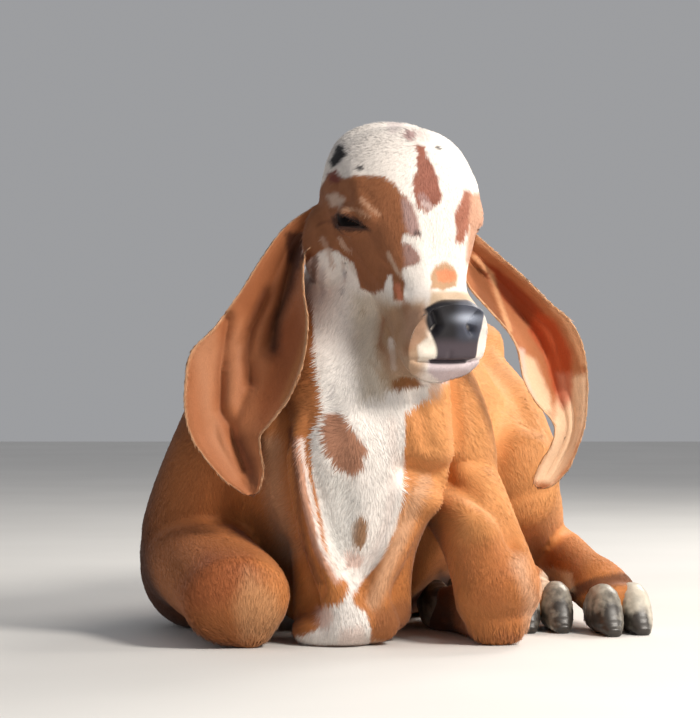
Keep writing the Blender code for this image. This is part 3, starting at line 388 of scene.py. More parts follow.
@dataclass(frozen=True)
class Limb:
    """A tube of flesh along its bones, and the way that the hair on it lies.

    Each station holds the middle of a section, its half width and its reach up and down.
    """

    name: str
    stations: Stations
    caps: tuple[float, float] = (0.03, 0.03)
    upright: Point = (0, 0, 1)
    zone: Zone = Zone.TRUNK
    lie: int = 1
    sides: int = 24
    steps: int = 4
    square: float = 2.0
    domes: tuple[int, ...] = (72, 48, 24)

    def rows(self) -> np.ndarray:
        """The stations as rows of six numbers, with a curve's points between them."""
        rows = []
        for middle, *sizes in self.stations:
            rows.append([*middle, *(sizes * 3 if len(sizes) == 1 else sizes)])
        return through(rows, self.steps)

    def build(self) -> bpy.types.Object:
        """Lofts the closed tube, with domed ends.

        Returns:
            The linked object.
        """
        rows = self.rows()
        middles, sizes = rows[:, :3], rows[:, 3:]
        tangents = unit(np.gradient(middles, axis=0))
        angles = np.arange(self.sides) * 2 * math.pi / self.sides
        cos, sin = np.cos(angles), np.sin(angles)
        cos = np.sign(cos) * np.abs(cos) ** (2 / self.square)
        sin = np.sign(sin) * np.abs(sin) ** (2 / self.square)
        rings = []

        def ring(middle: np.ndarray, tangent: np.ndarray, size: np.ndarray, scale: float) -> None:
            """Adds one section."""
            across = unit(np.cross(tangent, self.upright))
            lift = np.cross(across, tangent)
            tall = np.where(sin > 0, size[1], size[2])
            wide = size[0] * cos[:, None] * across
            rings.append(middle + scale * (wide + (tall * sin)[:, None] * lift))

        ends = (middles[0], -tangents[0]), (middles[-1], tangents[-1])
        for angle in map(math.radians, self.domes):
            start = ends[0][0] + ends[0][1] * self.caps[0] * math.sin(angle)
            ring(start, tangents[0], sizes[0], math.cos(angle))
        for middle, tangent, size in zip(middles, tangents, sizes):
            ring(middle, tangent, size, 1.0)
        for angle in map(math.radians, self.domes[::-1]):
            end = ends[1][0] + ends[1][1] * self.caps[1] * math.sin(angle)
            ring(end, tangents[-1], sizes[-1], math.cos(angle))
        tips = tuple(place + way * cap for (place, way), cap in zip(ends, self.caps))
        return skin_rings(self.name, rings, tips)


@dataclass(frozen=True)
class Foot:
    """A foot: where the coronet meets the floor, the way its toes point and how its claws stand."""

    name: str
    side: Side
    origin: Point
    toward: Point
    apart: float
    back: float
    upside: bool
    zone: Zone
    claw: Stations = mm(
        (-32, 11.5, 28, 3), (-22, 14.5, 40, 0), (-8, 15.5, 50, -1), (6, 15.8, 50, -1), (20, 15, 36, -1),
        (32, 12.5, 21, -1), (41, 8.5, 10, -1),
    )

    def axes(self) -> tuple[np.ndarray, np.ndarray, np.ndarray]:
        """The foot's own axes: toward the toes, outward, and up from the sole."""
        toward = unit(np.array(self.toward))
        lateral = np.cross((0, 0, 1), toward)
        if lateral[0] * self.side.value < 0:
            lateral = -lateral
        return toward, lateral, np.array((0, 0, -1.0 if self.upside else 1.0))

    def pastern(self) -> list:
        """The short flesh between fetlock and claws, with the two dew claws behind it."""
        toward, lateral, up = self.axes()
        origin = np.array(self.origin)
        stations = (
            (origin - toward * 0.048 + up * 0.030, 0.026, 0.024, 0.024),
            (origin - toward * 0.026 + up * 0.034, 0.029, 0.020, 0.026),
            (origin - toward * 0.002 + up * 0.038, 0.030, 0.015, 0.024),
        )
        limb = Limb(f"pastern_{self.name}", stations, (0.012, 0.010), zone=self.zone, square=2.3)
        behind, radii = origin - toward * 0.046 + up * 0.012, (0.010, 0.011, 0.012)
        dews = [ball("dewclaw", behind + lateral * s * 0.017, radii) for s in (-1, 1)]
        return [limb, *dews]

    def claw_form(self, which: int) -> Limb:
        """One of the two claws, 1 the outer and -1 the inner."""
        toward, lateral, up = self.axes()
        base = np.array(self.origin) + lateral * which * self.apart
        if which > 0:
            base = base - toward * self.back
        stations = tuple(
            (base + toward * along + up * (top + low) / 2, half, (top - low) / 2, (top - low) / 2)
            for along, half, top, low in self.claw
        )
        return Limb("claw", stations, (0.004, 0.004), sides=40, steps=5, square=2.5, domes=(70, 45, 20))


@dataclass(frozen=True)
class Tail:
    """The tail and the tuft of long hair at its end."""

    tail: Stations = mm(
        ((94, 640, 268), 24), ((98, 684, 250), 19), ((94, 706, 190), 16), ((82, 712, 120), 14),
        ((60, 708, 60), 12), ((22, 694, 22), 11), ((-24, 664, 11), 10.5), ((-66, 618, 10), 10),
        ((-98, 565, 10), 9.5),
    )

    def limb(self) -> Limb:
        """The tail's flesh."""
        return Limb("tail", self.tail, (0.020, 0.006), zone=Zone.TAIL, sides=20)

    def end(self) -> tuple[np.ndarray, np.ndarray, np.ndarray]:
        """Where the switch starts, the way it runs, and the way across it."""
        end = np.array(self.tail[-1][0])
        ahead = unit(end - np.array(self.tail[-2][0]))
        return end, ahead, np.cross((0, 0, 1), ahead)


@dataclass
class Head:
    """The head: skull, muzzle, lids and lips, in a frame of its own.

    In that frame f runs down the face, l to the calf's left and u up through the forehead.
    """

    skull: Point = (0.049, 0.035, 0.455)
    yaw: float = math.radians(30)
    pitch: float = math.radians(45)
    head: Stations = mm(
        (-48, 4, 62, 45, 64), (-24, 2, 73.5, 64, 78), (8, -2, 75.5, 72, 88), (38, -6, 73, 64, 86),
        (68, -16, 60, 50, 74), (98, -28, 47, 36, 61), (126, -40, 42, 38, 50), (154, -44, 44, 43, 45),
        (178, -46, 45.5, 44, 42), (200, -50, 40, 36, 36),
    )
    orbit: tuple = ((0.034, 0.0545, 0.006), (0.036, 0.026, 0.029))
    eye: Point = (0.0354, 0.0612, -0.0072)
    eye_axis: Point = (0.36, 0.88, 0.3)
    eye_radius: float = 0.019
    lid: float = 0.0022
    eye_opening: Line = (
        (-0.0202, -0.0005), (-0.0175, 0.0036), (-0.0125, 0.0062), (-0.007, 0.0072), (-0.001, 0.0067),
        (0.006, 0.0047), (0.0125, 0.0018), (0.017, -0.0012), (0.0205, -0.0042), (0.0165, -0.0056),
        (0.012, -0.0062), (0.006, -0.0066), (0.0, -0.0068), (-0.007, -0.0066), (-0.013, -0.0056),
        (-0.0178, -0.0034),
    )
    squint: float = 0.6
    slit_drop: float = 0.0015
    crease: float = 0.45
    lid_rim: float = 0.0005
    lid_cut: float = 0.0016
    lid_cap: tuple[float, float] = (82, 52)
    mouth: float = -0.0555
    nose_depth: float = 0.189
    head_strokes: tuple = mm(
        (((12, 68, 28), (36, 74, 26), (62, 66, 16)), "flu", 3.5, 10),
        (((30, 74, 18), (52, 76, 12)), "flu", -1.5, 4), (((64, 62, -4), (88, 52, -16)), "flu", -3, 9),
        (((58, 68, -20), (90, 56, -32), (124, 45, -40)), "flu", 3, 10),
        (((60, 30, 34), (100, 22, 8), (150, 18, -2)), "flu", 1.8, 10),
        (((85, 46, -20), (125, 40, -18)), "flu", -2.5, 10), (((30, 58, -56), (60, 52, -62)), "flu", 5, 24),
        (((100, 44, -66), (125, 38, -72)), "flu", -2.2, 10), (((-12, 0, 72), (6, 0, 72)), "flu", 3, 30),
    )
    muzzle_strokes: tuple = (
        (((0.168, 0.0255, -0.01), (0.174, 0.019, -0.024)), "flu", 0.003, 0.0085),
        (((0.166, 0.025, -0.011), (0.172, 0.0185, -0.021), (0.178, 0.0235, -0.026)), "flu", -0.01, 0.0042),
        (((0.158, 0.033, -0.016), (0.166, 0.034, -0.026)), "flu", 0.0018, 0.007),
        (((0.215, 0.0, -0.0545), (0.19, 0.0, -0.0555), (0.176, 0.0, -0.059)), "fu", -0.0046, 0.0028),
        (((0.174, 0.0, -0.0596), (0.16, 0.0, -0.065), (0.146, 0.0, -0.07)), "fu", -0.003, 0.003),
        (((0.2, 0.0, -0.047), (0.172, 0.0, -0.05), (0.15, 0.0, -0.057)), "fu", 0.0022, 0.0065),
        (((0.195, 0.0, -0.064), (0.176, 0.0, -0.068), (0.16, 0.0, -0.073)), "fu", 0.0018, 0.006),
        (((0.186, 0.0, -0.046), (0.192, 0.0, -0.054)), "flu", -0.0012, 0.0035),
        (((0.168, 0.0, -0.088), (0.18, 0.0, -0.086)), "flu", 0.003, 0.014),
        (((0.15, 0.0, -0.09), (0.156, 0.024, -0.086)), "flu", -0.0025, 0.007),
    )
    lid_strokes: tuple = mm(
        (((-19, 7.5), (-8, 12.5), (6, 12), (18, 5)), -1.3, 1.8),
        (((-18, 12.5), (-4, 19), (12, 16.5)), -1.2, 2.2), (((-18, -8.5), (0, -11.5), (17, -7.5)), -1.2, 2),
        (((-12, -15.5), (4, -17.5), (18, -13)), -1, 2.2), (((16, -2.2), (26, -6)), -3, 2.2),
        (((-16, -0.5), (-23, -2)), -2.4, 2),
    )
    turn: np.ndarray = field(init=False)
    slit: np.ndarray = field(init=False)

    def __post_init__(self) -> None:
        """Sets the head's axes, the rows of turn, and half closes the eyes."""
        self.slit = np.array(self.eye_opening) * (1, self.squint) - (0, self.slit_drop)
        cy, sy, cp, sp = (g(a) for a in (self.yaw, self.pitch) for g in (math.cos, math.sin))
        self.turn = np.array(((sy * cp, -cy * cp, -sp), (cy, sy, 0), (sy * sp, -cy * sp, cp)))

    def local(self, points: np.ndarray) -> np.ndarray:
        """The calf's own coordinates in the head's frame."""
        return (points - self.skull) @ self.turn.T

    def world(self, points: np.ndarray) -> np.ndarray:
        """The head's coordinates in the calf's."""
        return points @ self.turn + self.skull

    def forms(self) -> list[bpy.types.Object]:
        """Skull and orbits before the finer modelling."""
        stations = tuple(((f, 0, u), w, up, down) for f, u, w, up, down in self.head)
        pieces = [Limb("face", stations, (0.026, 0.014), sides=36, square=2.3).build()]
        (f, left, u), radii = self.orbit
        pieces += [ball("orbit", (f, side * left, u), radii) for side in (-1, 1)]
        for piece in pieces:
            put(piece, self.world(coords(piece)))
        return pieces

    def eye_frame(self, side: Side) -> tuple[np.ndarray, np.ndarray, np.ndarray, np.ndarray]:
        """An eye's middle, and its axes along the slit, up across it and out, in the head's frame."""
        f, left, u = self.eye_axis
        out = unit(np.array((f, side.value * left, u)))
        along = np.array((0.83, 0.0, 0.56))
        along = unit(along - out * (along @ out))
        middle = np.array((self.eye[0], side.value * self.eye[1], self.eye[2]))
        return middle, along, np.cross(along, out) * side.value, out

    def eye_coordinates(self, points: np.ndarray, side: Side) -> tuple[np.ndarray, np.ndarray]:
        """Points of the head's frame as seen by an eye: along and across its slit, and outward."""
        middle, along, up, out = self.eye_frame(side)
        away = points - middle
        return np.column_stack((away @ along, away @ up)), away @ out

    def stroke(self, points: np.ndarray, normals: np.ndarray, mark: tuple) -> np.ndarray:
        """Moves the points near a line along their normals, alike on both sides of the head."""
        line, axes, height, radius = mark
        pick = ["flu".index(axis) for axis in axes]
        folded = np.column_stack((points[:, 0], np.abs(points[:, 1]), points[:, 2]))
        gap = distance(folded[:, pick], np.array(line, float)[:, pick])
        fade = 1 - 0.75 * smoothstep(folded[:, 1], 0.028, 0.038) if axes == "fu" else 1.0
        return points + normals * (height * fade * np.exp(-((gap / radius) ** 2)))[:, None]

    def nose_plane(self, u: np.ndarray) -> np.ndarray:
        """How far down the face the plane of nose and lips lies at some heights."""
        return 0.163 + 0.467 * (-u - 0.002)

    def shape_muzzle(self, points: np.ndarray) -> np.ndarray:
        """Cuts the end of the muzzle back to the plane of nose and lips."""
        f, left, u = points.T
        limit = np.minimum(self.nose_plane(u), self.nose_depth) - 2.2 * left**2
        limit = limit - 26.0 * np.clip(-0.072 - u, 0, None) ** 2
        excess = f - limit
        near = (f > 0.13) & (np.abs(left) < 0.062) & (u > -0.106)
        pull = 0.5 * (excess + np.sqrt(excess**2 + 0.0035**2))
        moved = points.copy()
        moved[:, 0] = np.where(near, f - pull, f)
        return moved

    def shape_lids(self, points: np.ndarray, side: Side) -> np.ndarray:
        """Draws the skin over the eyeball, with the creases of the lids, and opens the slit."""
        middle, _, _, out = self.eye_frame(side)
        away = points - middle
        reach = np.linalg.norm(away, axis=1)
        ray = away / reach[:, None]
        cap = smoothstep(ray @ out, *(math.cos(math.radians(angle)) for angle in self.lid_cap))
        cap *= smoothstep(reach, 0.045, 0.030)
        target = np.full(len(points), self.eye_radius + self.lid)
        flat, _ = self.eye_coordinates(points, side)
        for line, height, radius in self.lid_strokes:
            gap = distance(flat, np.array(line, float))
            target += self.crease * height * np.exp(-((gap / radius) ** 2))
        near = cap > 0.5
        inside = np.full(len(points), -1.0)
        inside[near] = within(flat[near], self.slit)
        target += self.lid_rim * np.exp(-(((inside + 0.0012) / 0.0008) ** 2))
        target -= (self.lid + self.lid_cut) * smoothstep(inside, -0.0003, 0.0006)
        return middle + ray * (reach + (target - reach) * cap)[:, None]

    def refine(self, obj: bpy.types.Object, near: int) -> bpy.types.Object:
        """Halves faces: 0 on the whole head, 1 round eyes and muzzle, 2 round the eyes."""
        mesh = bmesh.new()
        mesh.from_mesh(obj.data)
        centres = np.array([face.calc_center_median() for face in mesh.faces])
        f, left, u = self.local(centres).T
        pick = (f > -0.02) & (np.abs(left) < 0.095) & (u > -0.112)
        if near:
            eyes = np.full(len(f), 1.0)
            for side in Side:
                middle = self.eye_frame(side)[0]
                eyes = np.minimum(eyes, np.linalg.norm(self.local(centres) - middle, axis=1))
            close = eyes < (0.036 if near == 1 else 0.026)
            pick &= close | ((near == 1) & (f > 0.145))
        mesh.faces.ensure_lookup_table()
        edges = {edge for i in np.flatnonzero(pick) for edge in mesh.faces[i].edges}
        bmesh.ops.subdivide_edges(mesh, edges=list(edges), cuts=1, use_grid_fill=True)
        bmesh.ops.triangulate(mesh, faces=[face for face in mesh.faces if len(face.verts) > 4])
        mesh.to_mesh(obj.data)
        mesh.free()
        return obj

    def model(self, obj: bpy.types.Object) -> bpy.types.Object:
        """The finer forms: brows, lids, nose, nostrils and lips."""
        for level in range(3):
            self.refine(obj, level)
        points, normals = self.local(coords(obj)), normals_of(obj) @ self.turn.T
        for mark in self.head_strokes:
            points = self.stroke(points, normals, mark)
        put(obj, self.world(self.shape_muzzle(points)))
        relax(obj, smoothstep(self.local(coords(obj))[:, 0], 0.12, 0.15) * 0.7, 3)
        points, normals = self.local(coords(obj)), normals_of(obj) @ self.turn.T
        for mark in self.muzzle_strokes:
            points = self.stroke(points, normals, mark)
        for side in Side:
            points = self.shape_lids(points, side)
        return put(obj, self.world(points))


@dataclass
class Ear:
    """A hanging ear: a sheet bellied backwards between two margins, with ribs down its hollow."""

    side: Side
    margins: Stations
    grooves: tuple
    thickness: float = 0.0042
    across: int = 49
    steps: int = 8

    def flat_margins(self) -> list:
        """The margins as rows of seven numbers."""
        return [[*a, *b, depth] for a, b, depth in self.margins]

    def tip(self) -> np.ndarray:
        """A last narrow row that rounds the ear's tip."""
        row, above = (np.array(self.flat_margins()[i]) for i in (-1, -2))
        middle, across = (row[:3] + row[3:6]) / 2, (row[3:6] - row[:3]) / 2
        down = middle - (above[:3] + above[3:6]) / 2
        middle = middle + 0.007 * down / np.linalg.norm(down)
        return np.array((*(middle - 0.38 * across), *(middle + 0.38 * across), 0.5 * row[6]))

    def build(self) -> bpy.types.Object:
        """Lofts the sheet and stores where each point lies on it.

        Returns:
            The closed sheet, with the attributes sheet (across, along, face) and flow.
        """
        rows = through([*self.flat_margins(), self.tip()], self.steps)
        across = np.linspace(0, 1, self.across)
        grid = []
        for i, row in enumerate(rows):
            t = i / (len(rows) - 1)
            bend = np.sin(math.pi * across ** (0.62 + 0.38 * t))
            fold = 0.0040 * math.sin(math.pi * min(1.0, t * 1.1)) ** 0.7
            ripple = -fold * np.exp(-(((across - 0.42) / 0.07) ** 2))
            ripple -= 0.8 * fold * np.exp(-(((across - 0.66) / 0.07) ** 2))
            middle = row[:3] + (row[3:6] - row[:3]) * across[:, None]
            grid.append(middle + np.array((0, 1.0, 0)) * (row[6] * bend - ripple)[:, None])
        grid = np.array(grid)
        shape = grid.shape[:2]
        flat = grid.reshape(-1, 3)[:, [0, 2]]
        for line, depth, radius in self.grooves:
            gap = distance(flat, np.array(line, float)).reshape(shape)
            grid[:, :, 1] += depth * np.exp(-((gap / radius) ** 2))
        flow, sideways = np.gradient(grid, axis=0), np.gradient(grid, axis=1)
        normal = unit(np.cross(flow, sideways))
        edge = np.minimum(across, 1 - across)[None, :] * np.ones(shape)
        ends = np.minimum(1.0, (len(rows) - 1 - np.arange(len(rows))) / 6)[:, None]
        thick = self.thickness * (0.35 + 0.65 * smoothstep(edge, 0.0, 0.10)) * (0.3 + 0.7 * ends)
        half = normal * (thick / 2)[:, :, None]
        count = 2 * self.across
        rings = np.concatenate((grid + half, (grid - half)[:, ::-1]), axis=1)
        along = np.repeat(np.arange(len(rows))[:, None] / (len(rows) - 1), count, axis=1)
        wide = np.concatenate((across, across[::-1]))[None, :] * np.ones((len(rows), 1))
        inner = 1 if np.mean(normal[:, :, 1]) < 0 else -1
        face = np.repeat([[inner] * self.across + [-inner] * self.across], len(rows), axis=0)
        i, j = np.meshgrid(np.arange(len(rows) - 1), np.arange(count), indexing="ij")
        a, b = i * count + j, i * count + (j + 1) % count
        quads = [np.column_stack([q.ravel() for q in (a, b, b + count, a + count)])]
        for row, flip in ((0, 1), (len(rows) - 1, -1)):
            k = np.arange(self.across - 1)
            lid = row * count + np.column_stack((k, count - 1 - k, count - 2 - k, k + 1))
            quads.append(lid[:, ::flip])
        obj = mesh_from(f"ear_{self.side.word}", rings.reshape(-1, 3), np.vstack(quads))
        mesh = bmesh.new()
        mesh.from_mesh(obj.data)
        bmesh.ops.recalc_face_normals(mesh, faces=mesh.faces)
        mesh.to_mesh(obj.data)
        mesh.free()
        marks = np.column_stack((wide.ravel(), along.ravel(), face.ravel()))
        paint(obj, "sheet", marks)
        paint(obj, "flow", unit(np.concatenate((flow, flow[:, ::-1]), axis=1).reshape(-1, 3)))
        return obj


@dataclass
class Flesh:
    """Everything under the coat: trunk, neck, folds and legs, fused with the head and tail."""

    fine: float = 0.0034
    coarse: float = 0.007
    trunk: Stations = mm(
        ((-8, 30, 160), 62, 95, 155), ((-16, 80, 190), 112, 140, 192), ((-14, 150, 200), 136, 170, 204),
        ((4, 240, 192), 145, 164, 198), ((28, 340, 182), 158, 164, 190), ((48, 430, 182), 148, 164, 188),
        ((66, 510, 194), 118, 156, 194), ((80, 575, 202), 96, 138, 170), ((88, 628, 212), 68, 98, 130),
    )
    hump: tuple = ((-0.01, 0.175, 0.35), (0.036, 0.072, 0.046))
    hip_bones: tuple = ((0.076, 0.49, 0.296), 0.072, (0.034, 0.05, 0.034))
    pin_bones: tuple = ((0.092, 0.632, 0.25), 0.04, (0.024, 0.036, 0.032))
    neck: Stations = mm(
        ((-14, 130, 160), 100, 118, 70), ((-12, 104, 225), 98, 98, 112), ((-2, 84, 285), 82, 74, 122),
        ((14, 72, 345), 70, 60, 108), ((27, 66, 400), 60, 60, 84), ((34, 64, 448), 50, 52, 56),
    )
    dewlap: Stations = mm(
        ((10, 14, 285), 10, 12, 30), ((-30, 4, 250), 12, 16, 40), ((-52, -2, 212), 13, 18, 40),
        ((-50, -8, 165), 13, 20, 40), ((-42, -10, 125), 14, 20, 40), ((-28, -14, 86), 16, 20, 40),
        ((-10, -18, 50), 22, 20, 40), ((0, -16, 20), 34, 22, 40),
    )
    armpit_fold: Stations = mm(
        ((78, 50, 172), 16, 18, 40), ((62, 26, 134), 17, 20, 40), ((44, 8, 96), 17, 22, 40),
        ((24, -4, 56), 18, 22, 40), ((24, 2, 20), 28, 22, 40),
    )
    breast: Stations = mm(
        ((48, 44, 325), 48, 36, 50), ((40, 36, 275), 66, 44, 60), ((22, 34, 220), 88, 50, 60),
        ((10, 34, 160), 86, 52, 60), ((4, 34, 105), 68, 48, 60), ((2, 36, 60), 62, 42, 50),
        ((2, 40, 22), 64, 38, 50),
    )
    throat: tuple = ((0.052, 0.022, 0.262), (0.03, 0.03, 0.026))
    flank: tuple = ((-0.16, 0.205, 0.066), (0.066, 0.095, 0.072))
    brisket: tuple = ((-0.014, 0.014, 0.014), (0.046, 0.044, 0.026))
    ear_bases: tuple = (
        ((-0.02, 0.03, 0.402), (0.029, 0.026, 0.046)), ((0.094, 0.092, 0.41), (0.021, 0.022, 0.036)),
    )
    shoulder_right: Stations = mm(
        ((-62, 185, 330), 34, 40, 50), ((-108, 140, 258), 46, 56, 66), ((-138, 112, 185), 52, 58, 66),
        ((-162, 128, 112), 56, 58, 62), ((-172, 150, 76), 50, 52, 56),
    )
    shoulder_left: Stations = (
        ((0.04, 0.195, 0.33), 0.034, 0.04, 0.05), ((0.084, 0.16, 0.265), 0.044, 0.056, 0.066),
        ((0.108, 0.13, 0.205), 0.044, 0.054, 0.064), ((0.116, 0.15, 0.15), 0.042, 0.048, 0.056),
    )
    forearm_right: Stations = mm(
        ((-172, 160, 84), 52, 58, 66), ((-158, 105, 80), 53, 52, 60), ((-138, 48, 70), 56, 46, 56),
        ((-121, 0, 60), 58, 44, 50), ((-112, -36, 50), 56, 46, 52),
    )
    cannon_fore_right: Stations = mm(
        ((-106, -22, 38), 40, 34, 42), ((-110, 28, 28), 28, 26, 32), ((-116, 78, 26), 24, 24, 30),
        ((-121, 122, 27), 28, 26, 31), ((-124, 148, 27), 25, 22, 30),
    )
    forearm_left: Stations = mm(
        ((108, 165, 158), 46, 50, 50), ((116, 115, 142), 46, 48, 48), ((130, 65, 112), 43, 44, 44),
        ((142, 25, 78), 44, 42, 44), ((149, -2, 50), 46, 44, 50),
    )
    cannon_fore_left: Stations = mm(
        ((148, 4, 36), 38, 32, 40), ((139, 50, 28), 27, 26, 32), ((128, 98, 26), 24, 24, 30),
        ((118, 140, 27), 28, 26, 31), ((112, 166, 27), 25, 22, 30),
    )
    thigh_left: Stations = mm(
        ((94, 545, 225), 70, 95, 110), ((128, 460, 200), 78, 110, 125), ((158, 370, 178), 68, 98, 110),
        ((176, 290, 165), 56, 70, 85), ((184, 240, 160), 46, 50, 55),
    )
    shank_left: Stations = (
        ((0.184, 0.245, 0.145), 0.044, 0.048, 0.05), ((0.196, 0.3, 0.11), 0.04, 0.046, 0.048),
        ((0.206, 0.355, 0.075), 0.034, 0.04, 0.042), ((0.211, 0.4, 0.052), 0.03, 0.036, 0.05),
    )
    cannon_hind_left: Stations = mm(
        ((212, 405, 74), 31, 38, 64), ((222, 350, 70), 29, 37, 46), ((238, 285, 62), 27, 34, 38),
        ((252, 220, 51), 26, 32, 32), ((263, 178, 45), 31, 31, 32), ((273, 146, 40), 31, 25, 30),
    )
    thigh_right: Stations = (
        ((0.05, 0.545, 0.19), 0.072, 0.1, 0.12), ((-0.01, 0.46, 0.145), 0.082, 0.1, 0.12),
        ((-0.064, 0.38, 0.11), 0.074, 0.084, 0.1), ((-0.098, 0.31, 0.084), 0.058, 0.066, 0.084),
    )
    cannon_hind_right: Stations = mm(
        ((76, 360, 40), 28, 34, 44), ((112, 306, 36), 25, 30, 40), ((146, 258, 38), 24, 27, 36),
        ((174, 224, 44), 29, 30, 36), ((190, 198, 41), 29, 26, 32),
    )
    body_strokes: tuple = mm(
        (((196, 262, 222), (172, 335, 268), (150, 410, 306)), -8, 18),
        (((150, 350, 300), (158, 392, 300)), -12, 40),
        (((150, 585, 250), (170, 540, 165), (180, 480, 90)), -5, 15),
        (((108, 232, 316), (132, 212, 250), (140, 202, 185)), -7, 18),
        (((-98, 222, 322), (-140, 205, 255), (-160, 208, 180)), -7, 18),
        (((-105, 345, 290), (-98, 400, 296)), -12, 40), (((-130, 330, 215), (-105, 410, 265)), -6, 18),
        (((30, 540, 285), (6, 560, 190)), -5, 16),
        (((88, 110, 330), (100, 98, 270), (98, 80, 215)), -6, 14),
        (((-66, 110, 330), (-92, 86, 270), (-98, 66, 200)), -6, 14),
    )
    front_strokes: tuple = mm(
        (((60, 176), (94, 166), (124, 156), (146, 142), (170, 110)), -17, 12, 160),
        (((86, 142), (114, 132), (142, 112)), 7, 16, 140), (((72, 212), (110, 198)), 6, 22, 160),
        (((-70, 235), (-66, 190), (-60, 150), (-46, 100), (-34, 60)), -8, 9, 80),
        (((-88, 220), (-82, 170), (-66, 110)), 4, 8, 100),
        (((-18, 240), (-10, 190), (-4, 130), (2, 80)), -3, 12, 60),
        (((66, 252), (74, 225), (80, 200)), -5, 7, 100), (((98, 262), (106, 230), (108, 200)), -4, 8, 120),
        (((40, 160), (30, 115), (14, 70)), -4, 9, 50),
    )

    def large(self) -> list[Limb]:
        """The limbs of the trunk form."""
        front = (0, -1, 0)
        return [
            Limb("trunk", self.trunk, (0.045, 0.035), sides=32),
            Limb("neck", self.neck, (0.03, 0.02), front, Zone.NECK, lie=-1, sides=32),
            Limb("breast", self.breast, (0.03, 0.02), front, Zone.NECK, sides=32),
            Limb("shoulder_right", self.shoulder_right, (0.03, 0.04), front),
            Limb("shoulder_left", self.shoulder_left, (0.03, 0.04), front),
            Limb("thigh_left", self.thigh_left, (0.05, 0.035), zone=Zone.QUARTERS),
            Limb("thigh_right", self.thigh_right, (0.05, 0.045), zone=Zone.QUARTERS),
        ]

    def small(self) -> list[Limb]:
        """The lower legs, folded as they lie, and the folds of skin under the throat."""
        fore, hind, front = Zone.FORE_LEGS, Zone.HIND_LEGS, (0, -1, 0)
        return [
            Limb("forearm_right", self.forearm_right, (0.02, 0.026), zone=fore),
            Limb("forearm_left", self.forearm_left, (0.02, 0.026), zone=fore),
            Limb("cannon_fore_right", self.cannon_fore_right, (0.02, 0.012), zone=fore),
            Limb("cannon_fore_left", self.cannon_fore_left, (0.02, 0.012), zone=fore),
            Limb("shank_left", self.shank_left, (0.03, 0.026), zone=hind),
            Limb("cannon_hind_left", self.cannon_hind_left, (0.024, 0.012), zone=hind),
            Limb("cannon_hind_right", self.cannon_hind_right, (0.024, 0.012), zone=hind),
            Limb("dewlap", self.dewlap, (0.02, 0.02), front, Zone.NECK),
            Limb("armpit_fold", self.armpit_fold, (0.02, 0.02), front, Zone.NECK),
        ]

    def build(self, head: Head, feet: list[Foot], tail: Tail) -> tuple[bpy.types.Object, list[Limb]]:
        """Fuses and models the whole form.

        Args:
            head: The head.
            feet: The four feet.
            tail: The tail.

        Returns:
            The fused form, and every limb that it was made from.
        """
        limbs = self.large()
        bones = [ball("hump", *self.hump), ball("flank", *self.flank)]
        for (x, y, z), apart, radii in (self.hip_bones, self.pin_bones):
            bones += [ball("bone", (x + side * apart, y, z), radii) for side in (-1, 1)]
        rounded = fuse(join("trunk_form", [limb.build() for limb in limbs] + bones), self.coarse, 10)
        more = [*self.small(), tail.limb()]
        pieces = [rounded, ball("throat", *self.throat), ball("brisket", *self.brisket)]
        pieces += [ball("ear_base", *base) for base in self.ear_bases]
        for foot in feet:
            limb, *dews = foot.pastern()
            more.append(limb)
            pieces += dews
        pieces += [limb.build() for limb in more] + head.forms()
        return self.model(fuse(join("flesh", pieces), self.fine, 6)), limbs + more

    def model(self, obj: bpy.types.Object) -> bpy.types.Object:
        """The hollows between the large forms, and the creases of what faces forward."""
        points, normals = coords(obj), normals_of(obj)
        for line, height, radius in self.body_strokes:
            gap = distance(points, np.array(line, float))
            points = points + normals * (height * np.exp(-((gap / radius) ** 2)))[:, None]
        for line, height, radius, deep in self.front_strokes:
            gap = distance(points[:, [0, 2]], np.array(line, float))
            facing = smoothstep(-normals[:, 1], 0.0, 0.4) * smoothstep(points[:, 1], deep, deep - 0.03)
            points = points + normals * (height * np.exp(-((gap / radius) ** 2)) * facing)[:, None]
        return put(obj, points)


# The skin


